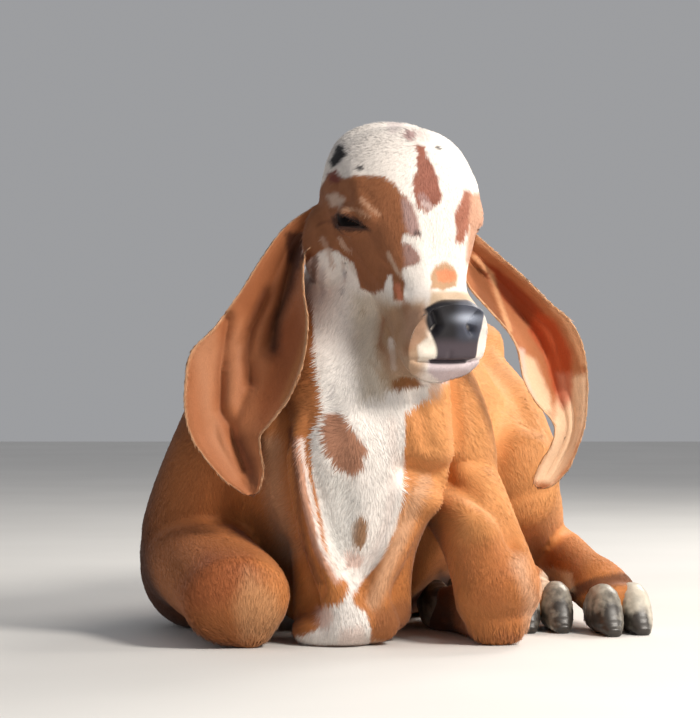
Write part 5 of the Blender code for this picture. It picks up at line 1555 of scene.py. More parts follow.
@dataclass
class Markings:
    """The calf's pattern: brown body, white face and throat, brown patches and dark marks, with painted
    light and shade laid over them in places.

    Outlines are drawn as they appear from the front, 3 m off at eye level: millimetres across
    and down at that distance.
    """

    head: Head
    red: Colour = (0.36, 0.105, 0.03)
    tan: Colour = (0.6, 0.228, 0.064)
    # lit: painted light for the calf's left side, which faces the light
    lit: Colour = (0.78, 0.38, 0.145)
    dark: Colour = (0.115, 0.036, 0.016)
    white: Colour = (0.86, 0.79, 0.73)
    inner: Colour = (0.45, 0.16, 0.062)
    outer: Colour = (0.36, 0.115, 0.04)
    rim: Colour = (0.7, 0.42, 0.24)
    # flank: painted shade for the calf's right flank, away from the light
    flank: Colour = (0.06, 0.019, 0.009)
    flank_shade_share: float = 0.88
    right_red_shade: float = 0.55
    lip: Colour = (0.6, 0.5, 0.52)
    # Near-black painted shade for the line where the lips part.
    mouth_shade: Colour = (0.01, 0.006, 0.01)
    # Painted highlight colour for a glint on the nose pad.
    painted_glint: Colour = (0.5, 0.55, 0.66)
    lid: Colour = (0.02, 0.01, 0.007)
    damp: Colour = (0.06, 0.046, 0.056)
    # Painted reflection colour for the upper right of the nose pad.
    painted_reflection: Colour = (0.06, 0.065, 0.09)
    throat: tuple[Patch, ...] = (
        Patch(PALE, ((317, 370), (324, 412), (312, 435), (313, 475), (319, 510), (324, 545), (337, 570),
            (347, 583), (345, 597), (336, 604), (324, 606), (318, 613), (322, 626), (308, 633), (296, 635),
            (296, 645), (371, 645), (371, 628), (365, 612), (354, 604), (352, 594), (372, 570), (385, 555),
            (397, 525), (402, 500), (404, 470), (404, 445), (405, 411), (422, 402), (426, 394), (430, 385),
            (430, 350), (400, 330), (340, 290), (312, 290))),
        Patch(PINK, line=((299, 440), (306, 495), (317, 545), (336, 578)), radius=5, share=0.55),
        Patch(PALE, line=((303, 440), (310, 495), (320, 545), (338, 576)), radius=2.2, soft=1.2, share=0.7),
        Patch((0.4, 0.19, 0.115), ((327, 415), (342, 412), (355, 430), (369, 451), (362, 457), (365, 467),
            (352, 475), (337, 467), (327, 452), (322, 432))),
        Patch((0.36, 0.2, 0.11), ((352, 522), (360, 515), (369, 520), (367, 538), (361, 548), (353, 543))),
        Patch(PINK, ((342, 552), (352, 548), (365, 556), (360, 567), (346, 567)), share=0.6),
        Patch(PINK, line=((392, 420), (394, 470), (388, 520), (372, 560)), radius=5, soft=5, share=0.18),
        Patch((0.6, 0.35, 0.21), line=((422, 482), (408, 515), (393, 555), (374, 600)), radius=8, soft=5,
            share=0.7),
        # Painted shade: a grey cast over the left part of the white throat.
        Patch((0.63, 0.63, 0.6), ((318, 462), (350, 480), (362, 500), (352, 545), (335, 560), (322, 520)),
            soft=6, share=0.5),
        Patch((0.27, 0.1, 0.04), ((372, 612), (400, 598), (424, 604), (420, 628), (378, 632)), soft=6,
            share=0.65),
        Patch(CREAM, line=((374, 642), (404, 642), (416, 637)), radius=2, soft=2.5, share=0.6),
        Patch((0.58, 0.34, 0.2), line=((272, 445), (276, 500), (290, 550)), radius=10, soft=9, share=0.65),
        # Painted shadow in the fold at the left edge of the white throat.
        Patch(DARK_BROWN, line=((291, 428), (296, 470), (299, 510), (306, 548), (318, 580)), radius=2.5,
            soft=3.5, share=0.75),
        Patch(PINK, ((316, 606), (328, 604), (334, 616), (326, 628), (316, 622)), share=0.6, soft=3),
        Patch(PINK, ((340, 628), (362, 624), (368, 642), (338, 645)), share=0.35, soft=4),
    )
    cheek: tuple[Patch, ...] = (
        Patch(GREY, line=((322, 268), (324, 290), (321, 300)), radius=3, share=0.5),
        Patch(DARK_BROWN, line=((316, 258), (313, 280)), radius=3.5, share=0.75),
        Patch(RED_BROWN, line=((343, 262), (346, 280)), radius=1.6, share=0.4),
        Patch(GREY, line=((344, 270), (345, 276)), radius=1.8, share=0.8),
        Patch(GREY, line=((343, 288), (344, 294)), radius=1.8, share=0.8),
        Patch(DARK_BROWN, line=((362, 310), (365, 313)), radius=1.6, share=0.8),
        Patch(TAN_BROWN, line=((386, 320), (389, 336)), radius=2.4, share=0.75),
        Patch(TAN_BROWN, line=((399, 324), (395, 340)), radius=2.4, share=0.75),
        Patch(RED_BROWN, line=((377, 346), (387, 354)), radius=1.8, share=0.85),
        Patch(TAN_BROWN, line=((370, 360), (384, 378)), radius=2.0, share=0.5),
        Patch(GREY, line=((370, 382), (374, 392)), radius=3.0, share=0.6),
        Patch((0.56, 0.46, 0.34), ((354, 292), (392, 296), (392, 398), (362, 398), (352, 340)), soft=9,
            share=0.7),
        Patch((0.43, 0.275, 0.16), ((380, 304), (424, 300), (430, 345), (414, 392), (388, 396), (376, 345)),
            soft=8, share=0.9),
        Patch((0.34, 0.175, 0.09), ((386, 312), (400, 304), (427, 306), (424, 342), (408, 356), (388, 346)),
            soft=6, share=0.6),
        Patch((0.3, 0.13, 0.065), line=((384, 318), (380, 344), (392, 362)), radius=2, soft=2, share=0.7),
        Patch((0.36, 0.17, 0.085), line=((406, 306), (414, 330), (406, 352)), radius=4, soft=3, share=0.75),
        Patch(PALE, line=((391, 340), (394, 368)), radius=3, soft=2, share=0.6),
        Patch(GREY, line=((335, 382), (333, 398)), radius=1.6, share=0.5),
        Patch(GREY, ((322, 300), (345, 300), (362, 340), (362, 385), (335, 385)), soft=8, share=0.12),
    )
    face: tuple[Patch, ...] = (
        Patch((0.62, 0.53, 0.52), ((388, 124), (396, 121), (404, 124), (402, 132), (392, 134)), share=0.7,
            soft=2.5),
        Patch((0.4, 0.25, 0.24), ((404, 136), (408, 131), (415, 132), (417, 138), (412, 142)), share=0.9),
        Patch((0.6, 0.45, 0.43), line=((420, 134), (432, 138)), radius=3, soft=3, share=0.4),
        Patch(RED_BROWN, ((330, 172), (335, 170), (342, 177), (357, 175), (373, 175), (385, 176), (395,
            182), (401, 192), (408, 198), (415, 210), (418, 223), (420, 235), (413, 235), (404, 233), (402,
            242), (410, 244), (418, 252), (419, 260), (412, 265), (403, 267), (401, 275), (405, 280), (404,
            300), (393, 300), (392, 275), (388, 275), (384, 288), (373, 292), (360, 288), (357, 270), (353,
            262), (340, 253), (328, 247), (306, 262), (300, 240), (306, 200), (323, 183))),
        Patch(MAUVE, ((401, 197), (408, 199), (415, 210), (419, 226), (419, 236), (409, 234), (404, 220)),
            soft=3, share=0.75),
        Patch(MAUVE, ((403, 242), (411, 244), (418, 252), (419, 260), (412, 265), (405, 264)), soft=3.5,
            share=0.6),
        Patch((0.055, 0.02, 0.012), ((331, 217), (338, 212), (350, 214), (360, 219), (368, 226), (372, 231),
            (362, 231), (348, 231), (336, 228)), soft=1.6, ragged=0.8, share=0.92),
        Patch(DARK_BROWN, line=((330, 221), (322, 222), (318, 226)), radius=1.6, soft=1.6, share=0.6),
        Patch((0.62, 0.47, 0.38), ((326, 193), (336, 192), (345, 198), (342, 206), (331, 205)), soft=2.5,
            share=0.8),
        Patch((0.58, 0.33, 0.2), line=((344, 209), (358, 209), (370, 216)), radius=1.8, soft=1.4,
            share=0.75),
        Patch((0.56, 0.32, 0.2), line=((361, 198), (372, 208), (380, 215)), radius=1.8, soft=1.4,
            share=0.8),
        Patch((0.55, 0.36, 0.26), line=((340, 238), (344, 246), (350, 250)), radius=1.8, soft=1.4,
            share=0.8),
        Patch((0.52, 0.33, 0.24), line=((323, 238), (330, 254), (334, 266)), radius=2.0, soft=1.6,
            share=0.7),
        Patch((0.55, 0.38, 0.28), line=((388, 252), (396, 268), (402, 276)), radius=2.0, soft=1.4,
            share=0.8),
        Patch((0.5, 0.16, 0.09), line=((397, 285), (400, 297)), radius=3.0, share=0.7),
        Patch((0.28, 0.095, 0.06), ((417, 145), (425, 147), (427, 157), (433, 165), (439, 178), (442, 193),
            (439, 203), (432, 207), (427, 211), (420, 207), (415, 195), (413, 183), (417, 167), (418, 157)),
            ragged=4.0),
        Patch((0.75, 0.62, 0.58), line=((424, 203), (431, 207)), radius=3, soft=2, share=0.7),
        Patch(MAUVE, line=((422, 196), (430, 206)), radius=4, share=0.5),
        Patch((0.36, 0.135, 0.085), ((465, 187), (470, 192), (475, 193), (474, 213), (470, 228), (465, 237),
            (460, 247), (455, 240), (455, 213), (459, 200)), ragged=4.0),
        Patch((0.6, 0.33, 0.22), ((470, 193), (486, 188), (488, 230), (474, 262), (466, 262), (468, 235)),
            soft=2.5),
        Patch(GREY, ((334, 140), (346, 142), (351, 152), (338, 168), (329, 160)), soft=2.5, share=0.5),
        Patch(SLATE, ((338, 145), (344, 143), (349, 153), (342, 160), (334, 166), (331, 160), (336, 152)),
            soft=1.2),
        Patch(SLATE, line=((360, 168), (362, 168)), radius=3.0, soft=1.2, share=0.9),
        Patch(SLATE, line=((437, 148), (437.5, 148)), radius=1.8, soft=1.0, share=0.85),
        Patch(SLATE, line=((416, 232), (420, 233)), radius=2.0, soft=1.2, share=0.7),
        Patch((0.16, 0.03, 0.022), ((329, 171), (337, 169), (343, 176), (340, 181), (331, 181)), share=0.9),
        Patch((0.5, 0.3, 0.17), ((431, 274), (436, 265), (445, 261), (453, 266), (458, 275), (456, 286),
            (443, 290), (431, 288))),
        Patch((0.66, 0.24, 0.11), ((436, 271), (445, 268), (454, 271), (456, 278), (450, 282), (438, 281)),
            soft=2.2),
        Patch((0.56, 0.38, 0.22), ((431, 291), (480, 291), (479, 308), (427, 310)), soft=3, share=0.8),
        Patch((0.8, 0.6, 0.4), ((476, 283), (488, 290), (490, 305), (478, 303)), soft=3, share=0.6),
    )
    muzzle: tuple[Patch, ...] = (
        Patch((0.44, 0.26, 0.17), ((408, 309), (425, 307), (429, 322), (424, 342), (413, 350), (403, 334)),
            soft=5, share=0.85),
        Patch((0.46, 0.29, 0.19), ((372, 352), (398, 348), (414, 352), (426, 364), (424, 374), (392, 376)),
            soft=4, share=0.5),
        Patch((0.8, 0.72, 0.62), ((417, 345), (430, 337), (441, 338), (443, 352), (433, 360), (419, 361)),
            soft=2.5),
        Patch((0.3, 0.125, 0.045), ((392, 381), (402, 376), (416, 378), (421, 385), (412, 392), (396, 391)),
            soft=2),
        Patch(PALE, ((385, 390), (426, 386), (430, 396), (405, 408), (385, 402)), soft=3),
        Patch((0.62, 0.52, 0.54), ((429, 360), (476, 358), (482, 366), (470, 380), (440, 381), (428, 372)),
            soft=2.5),
    )
    # Coronet and knee colours, with painted light and shade on the knees and painted shadow under the
    # elbow.
    leg_marks_and_painted_light: tuple[Patch, ...] = (
        Patch((0.1, 0.035, 0.02), line=((572, 592), (592, 584), (612, 579), (632, 578)), radius=6, soft=3,
            share=0.8),
        Patch(CREAM, ((540, 569), (552, 566), (572, 572), (574, 590), (556, 596), (541, 590)), soft=3,
            share=0.8),
        Patch((0.33, 0.09, 0.03), ((178, 585), (205, 550), (250, 554), (262, 580), (225, 604), (185, 612)),
            soft=12, share=0.7),
        # Painted light: the side of the calf's right knee that faces the light, lighter tan.
        Patch((0.62, 0.33, 0.16), ((246, 568), (275, 592), (289, 625), (280, 640), (242, 636), (234, 604)),
            soft=10, share=0.6),
        # Painted shade along the bottom of the calf's right knee, near the floor.
        Patch(DARK_BROWN, line=((186, 634), (200, 646), (274, 647)), radius=3, soft=6, share=0.7),
        Patch((0.46, 0.15, 0.045), ((455, 545), (500, 536), (516, 572), (505, 602), (468, 604)), soft=11,
            share=0.65),
        # Painted highlight down the side of the calf's left knee that faces the light.
        Patch((0.74, 0.45, 0.29), line=((518, 562), (533, 598), (532, 628)), radius=7, soft=8, share=0.6),
        # Painted shade along the bottom of the calf's left knee, near the floor.
        Patch((0.3, 0.1, 0.04), line=((500, 632), (536, 642)), radius=3, soft=5, share=0.5),
        # Painted shadow under the elbow, between the brisket and the left foreleg.
        Patch((0.07, 0.022, 0.01), ((425, 592), (440, 570), (452, 578), (458, 645), (425, 645)), soft=6,
            share=0.8),
    )

    # The ears' inner colours, with painted shade in their grooves, hollows and folds.
    hollows: tuple[Patch, ...] = (
        Patch((0.53, 0.235, 0.118), ((192, 350), (214, 318), (222, 350), (214, 400), (222, 440), (236, 478),
            (210, 440)), soft=8, share=0.8),
        Patch((0.55, 0.235, 0.115), ((228, 340), (242, 320), (244, 370), (240, 410), (226, 400)), soft=6,
            share=0.6),
        Patch((0.33, 0.105, 0.036), ((300, 228), (262, 262), (228, 300), (252, 316), (284, 300), (302,
            262)), soft=9, share=0.75),
        Patch((0.3, 0.078, 0.02), ((278, 330), (300, 300), (306, 330), (300, 365), (280, 405), (262, 425),
            (258, 400)), soft=9, share=0.75),
        # Painted shade along a groove of the right ear.
        Patch((0.16, 0.036, 0.009), line=((226, 318), (222, 345), (218, 372), (220, 408), (230, 432), (244,
            468)), radius=1.5, soft=5, share=0.55),
        # Painted shade along a groove of the right ear.
        Patch((0.16, 0.036, 0.009), line=((266, 296), (252, 328), (246, 358), (250, 384)), radius=2, soft=6,
            share=0.7),
        # Painted shadow in the right ear's deep hollow.
        Patch((0.055, 0.016, 0.007), line=((299, 246), (290, 285), (277, 318), (274, 348)), radius=4.5,
            soft=7, share=0.95),
        # Painted shadow in the opening of the right ear's conch.
        Patch((0.08, 0.022, 0.009), ((286, 232), (308, 232), (308, 256), (300, 268), (288, 262)), soft=3,
            share=0.95),
        Patch((0.48, 0.2, 0.07), line=((303, 262), (308, 290), (308, 325), (299, 360), (284, 400)),
            radius=2, soft=4, share=0.7),
        # Painted shade at the right ear's lower tip.
        Patch((0.1, 0.025, 0.01), line=((240, 440), (250, 462), (254, 482)), radius=5, soft=7, share=0.75),
        Patch((0.62, 0.3, 0.15), line=((480, 240), (512, 262), (545, 292), (570, 325), (585, 360)),
            radius=5, soft=3),
        Patch((0.8, 0.53, 0.34), ((560, 380), (588, 372), (586, 420), (570, 460), (552, 484), (534, 480),
            (548, 448), (553, 420)), soft=4),
        Patch((0.8, 0.53, 0.34), ((522, 352), (536, 360), (550, 395), (553, 425), (540, 410), (520, 380)),
            soft=3, share=0.9),
        Patch((0.72, 0.5, 0.42), ((516, 346), (524, 348), (526, 375), (536, 400), (522, 388), (515, 366)),
            soft=2.5, share=0.8),
        Patch((0.3, 0.055, 0.014), ((476, 256), (498, 268), (528, 294), (548, 318), (542, 334), (520, 318),
            (500, 296), (482, 272)), soft=3),
        Patch((0.46, 0.075, 0.018), ((536, 310), (556, 322), (572, 352), (570, 398), (562, 406), (552, 385),
            (545, 355), (528, 330)), soft=4),
        Patch((0.62, 0.25, 0.15), ((556, 372), (572, 372), (570, 402), (562, 410)), soft=4, share=0.7),
        # Painted shade on the outer part of the left ear's front flap.
        Patch((0.24, 0.075, 0.024), ((466, 262), (482, 268), (492, 290), (507, 330), (494, 318), (478,
            296)), soft=2.5, share=0.9),
        Patch((0.66, 0.33, 0.16), line=((474, 257), (490, 272), (497, 295), (509, 328)), radius=2.2,
            soft=1.8, share=0.95),
        Patch((0.2, 0.085, 0.03), line=((548, 412), (551, 428), (549, 446)), radius=2, soft=3, share=0.6),
    )

    def picture(self, points: np.ndarray) -> np.ndarray:
        """The places of some points as they appear from the front."""
        x, y, z = points.T
        scale = LENS / (y - VIEW[1])
        return np.column_stack((WIDE / 2 + x * scale, HORIZON + (VIEW[2] - z) * scale))

    def body(self, points: np.ndarray) -> np.ndarray:
        """The brown of the body, darker along the back, redder on the calf's right side partly as painted
        shade, with painted shade on the right flank and on the lower face of each leg near the floor, and
        painted light on the left side.
        """
        soft = 0.5 + 0.5 * mottle(points, 0.11, 1)
        fine = mottle(points, 0.012, 2)
        colour = np.tile(self.tan, (len(points), 1))
        colour = mix(colour, self.red, 0.05 + 0.40 * soft + 0.06 * fine)
        x, y, z = points.T
        # Redder on the calf's right side: partly the coat's own red, partly painted shade on the side away
        # from the light.
        colour = mix(colour, self.red, self.right_red_shade * smoothstep(-x, 0.02, 0.16))
        # Painted shade: the calf's right flank, low and away from the light, darkened almost to black.
        shade = smoothstep(-x, 0.11, 0.20) * smoothstep(y, 0.04, 0.13) * smoothstep(-z, -0.38, -0.18)
        colour = mix(colour, self.flank, self.flank_shade_share * shade)
        # Painted light: the calf's left side, facing the light, lightened towards pale tan.
        colour = mix(colour, self.lit, 0.60 * smoothstep(x, 0.02, 0.11) * smoothstep(z, 0.05, 0.16))
        back = smoothstep(z, 0.30, 0.37) * smoothstep(y, 0.12, 0.2)
        colour = mix(colour, self.dark, 0.35 * back)
        # Painted shade: the lower faces at the front, close to the floor, darkened.
        knees = smoothstep(-z, -0.060, -0.010) * smoothstep(-y, -0.10, -0.02)
        return mix(colour, self.dark, 0.25 * knees)

    def neck(self, colour: np.ndarray, points: np.ndarray) -> np.ndarray:
        """Darkens the neck behind the cheek and under the ear with painted shadow."""
        x, y, z = points.T
        side = smoothstep(-x, 0.010, 0.040) * smoothstep(z, 0.17, 0.24) * smoothstep(-y, -0.16, -0.06)
        return mix(colour, self.dark, 0.45 * side * (z < 0.42))

    def ears(
        self, colour: np.ndarray, places: np.ndarray, sheet: np.ndarray, rough: np.ndarray
    ) -> np.ndarray:
        """Colours the ears: salmon inside with dark hollows and grooves of painted shade, brown outside,
        with a pale rim.
        """
        across, along, face = sheet.T
        ear = smoothstep(np.abs(face), 0.15, 0.6)
        inside = smoothstep(face, -0.2, 0.2) * ear
        rim = smoothstep(-np.minimum(across, 1 - across), -0.030, -0.008)
        colour = mix(colour, self.outer, ear)
        colour = mix(colour, self.inner, inside * (0.75 + 0.25 * smoothstep(along, 0.1, 0.4)))
        for patch in self.hollows:
            colour = mix(colour, patch.colour, patch.reach(places, rough) * inside)
        return mix(colour, self.rim, 0.70 * rim * ear)

    def bald(
        self, colour: np.ndarray, local: np.ndarray, places: np.ndarray, bare: np.ndarray
    ) -> np.ndarray:
        """Colours the nose pad, the lips and the rims of the lids, with a painted highlight and painted
        reflection on the pad and painted shade in the mouth's line.
        """
        f, left, u = local.T
        nose = bare * smoothstep(f, 0.14, 0.16)
        low = smoothstep(places[:, 1], 334, 346)
        pad = mix(np.tile(SLATE, (len(colour), 1)), self.damp, low)
        # Painted reflection: a cold bluish tint over the upper right of the pad.
        pad = mix(pad, self.painted_reflection, smoothstep(places[:, 0], 452, 466) * (1 - low))
        # Painted highlight: a pale bluish glint near the top of the pad.
        glint_spot = np.exp(-(((places[:, 0] - 468) / 12) ** 2) - ((places[:, 1] - 318) / 5) ** 2)
        pad = mix(pad, self.painted_glint, 0.8 * glint_spot)
        lip = smoothstep(-u, 0.0580, 0.0595)
        pad = mix(pad, self.lip, lip)
        # Painted shade: a near-black line where the lips part.
        line = np.exp(-(((u - self.head.mouth) / 0.0014) ** 2)) * smoothstep(-np.abs(left), -0.036, -0.031)
        pad = mix(pad, self.mouth_shade, line)
        colour = mix(colour, 0, nose) + pad * np.clip(nose, 0, 1)[:, None]
        return mix(colour, self.lid, bare * smoothstep(-f, -0.14, -0.12))

    def at(
        self, points: np.ndarray, normals: np.ndarray, sheet: np.ndarray, head: np.ndarray
    ) -> np.ndarray:
        """Colours some points of the skin.

        Args:
            points: Rows of the calf's coordinates.
            normals: The skin's normals there.
            sheet: Their places on an ear, or zeros.
            head: How far each is on the head, 0 to 1.

        Returns:
            A linear colour for each point, with its bareness as a fourth number.
        """
        places, local = self.picture(points), self.head.local(points)
        f, left, u = local.T
        rough = mottle(points, 0.006, 7, 3)
        ear = smoothstep(np.abs(sheet[:, 2]), 0.15, 0.6)
        front = smoothstep(-normals[:, 1], -0.30, -0.05) * (1 - ear)
        colour = self.neck(self.body(points), points)
        chest = front * (points[:, 1] < 0.110) * (points[:, 2] < 0.40)
        for patch in self.throat:
            colour = mix(colour, patch.colour, patch.reach(places, rough) * chest)
        nape = smoothstep(0.707 * (f + u) - 0.008 * rough, -0.076, -0.062)
        white = head * nape
        colour = mix(colour, self.white, white)
        colour = mix(colour, GREY, 0.10 * white * (0.5 + 0.5 * mottle(points, 0.02, 9)))
        away = np.hypot((f - 0.020) / 0.052, (u + 0.004) / 0.034)
        temple = smoothstep(-away - 0.25 * rough, -1.05, -0.90) * smoothstep(np.abs(left), 0.045, 0.055)
        hidden = np.where(left > 0, 1.0, smoothstep(normals[:, 1], -0.05, 0.15))
        colour = mix(colour, RED_BROWN, temple * head * hidden)
        seen = front * np.maximum(head, (points[:, 1] < 0.03) & (points[:, 2] > 0.235))
        tint = 1 + 0.10 * mottle(points, 0.009, 11, 3)[:, None]
        for patch in (*self.cheek, *self.face, *self.muzzle):
            colour = mix(colour, patch.colour * tint, patch.reach(places, rough) * seen)
        for patch in self.leg_marks_and_painted_light:
            colour = mix(colour, patch.colour, patch.reach(places, rough) * front)
        colour = self.ears(colour, places, sheet, rough)
        return np.column_stack((colour, np.zeros(len(points))))

    def skin(self, skin: Skin) -> np.ndarray:
        """The colours of the skin itself, with its bare places."""
        tone = self.at(skin.points, skin.normals, skin.sheet, skin.on_head)
        bare = skin.bare()
        local = self.head.local(skin.points)
        tone[:, :3] = self.bald(tone[:, :3], local, self.picture(skin.points), bare)
        tone[:, 3] = bare
        return tone


def mix(colour: np.ndarray, other: Colour | np.ndarray, share: np.ndarray) -> np.ndarray:
    """Colours blended towards another by a share for each row."""
    return colour + (np.asarray(other) - colour) * np.clip(share, 0, 1)[:, None]


class Nodes:
    """A material's node tree, with short ways to add and join nodes."""

    def __init__(self, name: str) -> None:
        """Starts a material with its plain shader."""
        self.material = bpy.data.materials.new(name)
        self.material.use_nodes = True
        self.tree = self.material.node_tree
        self.shader = self.tree.nodes["Principled BSDF"]

    def add(self, kind: str, **settings: object) -> bpy.types.Node:
        """A new node with its properties set."""
        node = self.tree.nodes.new("ShaderNode" + kind)
        for key, value in settings.items():
            setattr(node, key, value)
        return node

    def join(self, value: object, socket: bpy.types.NodeSocket) -> None:
        """Sets a socket to a number or colour, or links an output to it."""
        if isinstance(value, bpy.types.NodeSocket):
            self.tree.links.new(value, socket)
        else:
            socket.default_value = value

    def attribute(self, name: str, output: str = "Fac") -> bpy.types.NodeSocket:
        """A stored attribute."""
        return self.add("Attribute", attribute_name=name).outputs[output]

    def maths(self, kind: str, a: object, b: object = 0.0) -> bpy.types.NodeSocket:
        """One sum."""
        node = self.add("Math", operation=kind)
        self.join(a, node.inputs[0])
        self.join(b, node.inputs[1])
        return node.outputs[0]

    def span(self, value: object, low: float, high: float, a: float, b: float) -> bpy.types.NodeSocket:
        """A value carried from one range to another."""
        node = self.add("MapRange")
        for i, part in enumerate((value, low, high, a, b)):
            self.join(part, node.inputs[i])
        return node.outputs[0]

    def blend(self, share: object, a: object, b: object, kind: str = "MIX") -> bpy.types.NodeSocket:
        """Two colours mixed."""
        node = self.add("Mix", data_type="RGBA", blend_type=kind)
        self.join(share, node.inputs[0])
        self.join(a, node.inputs[6])
        self.join(b, node.inputs[7])
        return node.outputs[2]

    def noise(self, where: object, scale: float, detail: float = 2.0) -> bpy.types.NodeSocket:
        """Soft noise over some coordinates."""
        node = self.add("TexNoise")
        self.join(where, node.inputs["Vector"])
        node.inputs["Scale"].default_value = scale
        node.inputs["Detail"].default_value = detail
        return node.outputs["Fac"]

    def finish(self, **sockets: object) -> bpy.types.Material:
        """Fills the shader's sockets, named with spaces as underscores."""
        for key, value in sockets.items():
            self.join(value, self.shader.inputs[key.replace("_", " ")])
        return self.material


@dataclass(frozen=True)
class PeltFinish:
    """Skin and hair: the stored colour, streaked, with painted shade darker at each tuft's root and lighter
    to its tip.
    """

    name: str = "pelt"
    grain: float = 900.0
    bump: float = 0.25
    bump_depth: float = 0.0004
    sheen: float = 0.10

    def build(self) -> bpy.types.Material:
        """Makes the material."""
        n = Nodes(self.name)
        colour, bare = n.attribute("pelt", "Color"), n.attribute("pelt", "Alpha")
        own, reach = n.attribute("own"), n.attribute("reach")
        where = n.add("TexCoord").outputs["Object"]
        streak = n.noise(where, self.grain)
        level = n.maths("ADD", n.span(own, 0, 1, -0.10, 0.10), n.span(streak, 0.3, 0.7, -0.05, 0.05))
        # Painted shade: each tuft darker at its root and lighter at its tip.
        level = n.maths("ADD", level, n.span(reach, 0, 1, 0.94, 1.06))
        grey = n.add("CombineColor")
        for socket in grey.inputs:
            n.join(level, socket)
        colour = n.blend(1.0, colour, grey.outputs[0], "MULTIPLY")
        bump = n.add("Bump")
        bump.inputs["Strength"].default_value = self.bump
        bump.inputs["Distance"].default_value = self.bump_depth
        n.join(streak, bump.inputs["Height"])
        return n.finish(
            Base_Color=colour, Roughness=n.span(bare, 0.2, 0.9, 0.62, 0.42), Normal=bump.outputs[0],
            Specular_IOR_Level=n.span(bare, 0.2, 0.9, 0.24, 0.22),
            Sheen_Weight=n.span(bare, 0.2, 0.9, self.sheen, 0.0), Sheen_Roughness=0.5,
        )


@dataclass(frozen=True)
class EyeFinish:
    """A dark wet eye."""

    name: str = "eye_wet"
    iris: tuple = (0.012, 0.008, 0.007, 1)
    pupil: tuple = (0.003, 0.002, 0.002, 1)
    roughness: float = 0.28

    def build(self) -> bpy.types.Material:
        """Makes the material."""
        n = Nodes(self.name)
        gaze = n.add("SeparateXYZ")
        n.join(n.attribute("gaze", "Vector"), gaze.inputs[0])
        away = n.maths("ARCCOSINE", gaze.outputs[2])
        colour = n.blend(n.span(away, 0.70, 0.62, 0.0, 1.0), self.iris, self.pupil)
        return n.finish(Base_Color=colour, Roughness=self.roughness, Specular_IOR_Level=0.05)


@dataclass(frozen=True)
class HornFinish:
    """The claws' horn, pale above and dark toward the toe, partly its own colour and partly painted light.
    """

    name: str = "claw_horn"
    toe: tuple = (0.036, 0.03, 0.025, 1)
    top: tuple = (0.56, 0.51, 0.42, 1)
    roughness: float = 0.38

    def build(self) -> bpy.types.Material:
        """Makes the material."""
        n = Nodes(self.name)
        cloud = n.noise(n.attribute("horn", "Vector"), 90.0, 3.0)
        share = n.maths("ADD", n.attribute("lit"), n.span(cloud, 0.35, 0.65, -0.36, 0.10))
        return n.finish(Base_Color=n.blend(share, self.toe, self.top), Roughness=self.roughness)


@dataclass(frozen=True)
class SwitchFinish:
    """The long dark hair of the tail's end."""

    name: str = "switch_hair"
    dark: tuple = (0.05, 0.022, 0.012, 1)
    light: tuple = (0.14, 0.065, 0.035, 1)
    roughness: float = 0.5

    def build(self) -> bpy.types.Material:
        """Makes the material."""
        n = Nodes(self.name)
        colour = n.blend(n.attribute("own"), self.dark, self.light)
        return n.finish(Base_Color=colour, Roughness=self.roughness)


@dataclass(frozen=True)
class Lamp:
    """A soft lamp: its name, place, watts, width and colour."""

    name: str
    place: Point
    power: float
    size: float
    colour: Colour


@dataclass
class Studio:
    """A pale floor, soft lights and the camera in front of the calf at its eye level."""

    shift: Vector
    lamps: tuple[Lamp, ...] = (
        Lamp("key", (1.45, -1.3, 1.7), 62, 0.6, (1.0, 0.94, 0.86)),
        Lamp("side", (2.3, 0.1, 0.9), 20, 0.8, (1.0, 0.93, 0.84)),
        Lamp("fill", (-1.9, -1.5, 1.0), 2, 1.6, (0.94, 0.95, 1.0)),
        Lamp("rim", (1.3, 1.7, 1.7), 34, 0.9, (1.0, 0.95, 0.88)),
    )
    room: tuple = (0.84, 0.85, 0.88, 1)
    glow: float = 0.40
    target: Point = (0.05, 0.15, 0.2)
    floor_reach: float = 6
    paper: tuple = ((0.7, 0.69, 0.67, 1), (0.74, 0.73, 0.71, 1))

    def build(self) -> None:
        """Makes floor, lights, world and camera."""
        scene = bpy.context.scene
        scene.view_settings.view_transform = "Standard"
        scene.view_settings.look = "None"
        mesh = bmesh.new()
        bmesh.ops.create_grid(mesh, x_segments=1, y_segments=1, size=self.floor_reach)
        floor = new_object("floor", mesh)
        floor.location = (0, 0, 0)
        n = Nodes("floor_paper")
        where = n.add("TexCoord").outputs["Object"]
        cloud = n.span(n.noise(where, 3.0), 0.3, 0.7, 0, 1)
        floor.data.materials.append(n.finish(Base_Color=n.blend(cloud, *self.paper), Roughness=0.75))
        for lamp in self.lamps:
            self.light(lamp)
        world = bpy.data.worlds.new("soft_room")
        scene.world = world
        world.use_nodes = True
        background = world.node_tree.nodes["Background"]
        background.inputs[0].default_value = self.room
        background.inputs[1].default_value = self.glow
        self.camera()

    def light(self, lamp: Lamp) -> None:
        """One soft lamp that points at the calf."""
        data = bpy.data.lights.new(lamp.name, "AREA")
        data.energy, data.size, data.color = lamp.power, lamp.size, lamp.colour
        obj = bpy.data.objects.new(lamp.name, data)
        obj.location = Vector(lamp.place) + self.shift
        obj.rotation_mode = "QUATERNION"
        obj.rotation_quaternion = (Vector(self.target) - Vector(lamp.place)).to_track_quat("-Z", "Y")
        bpy.context.scene.collection.objects.link(obj)

    def camera(self) -> None:
        """The camera, level, with the photograph's lens."""
        data = bpy.data.cameras.new("camera")
        data.sensor_fit, data.sensor_width = "AUTO", 36
        data.lens = data.sensor_width * LENS / TALL
        data.shift_y = (HORIZON - TALL / 2) / TALL
        camera = bpy.data.objects.new("camera", data)
        camera.location = Vector(VIEW) + self.shift
        camera.rotation_euler = (math.radians(90), 0, 0)
        bpy.context.scene.collection.objects.link(camera)
        bpy.context.scene.camera = camera


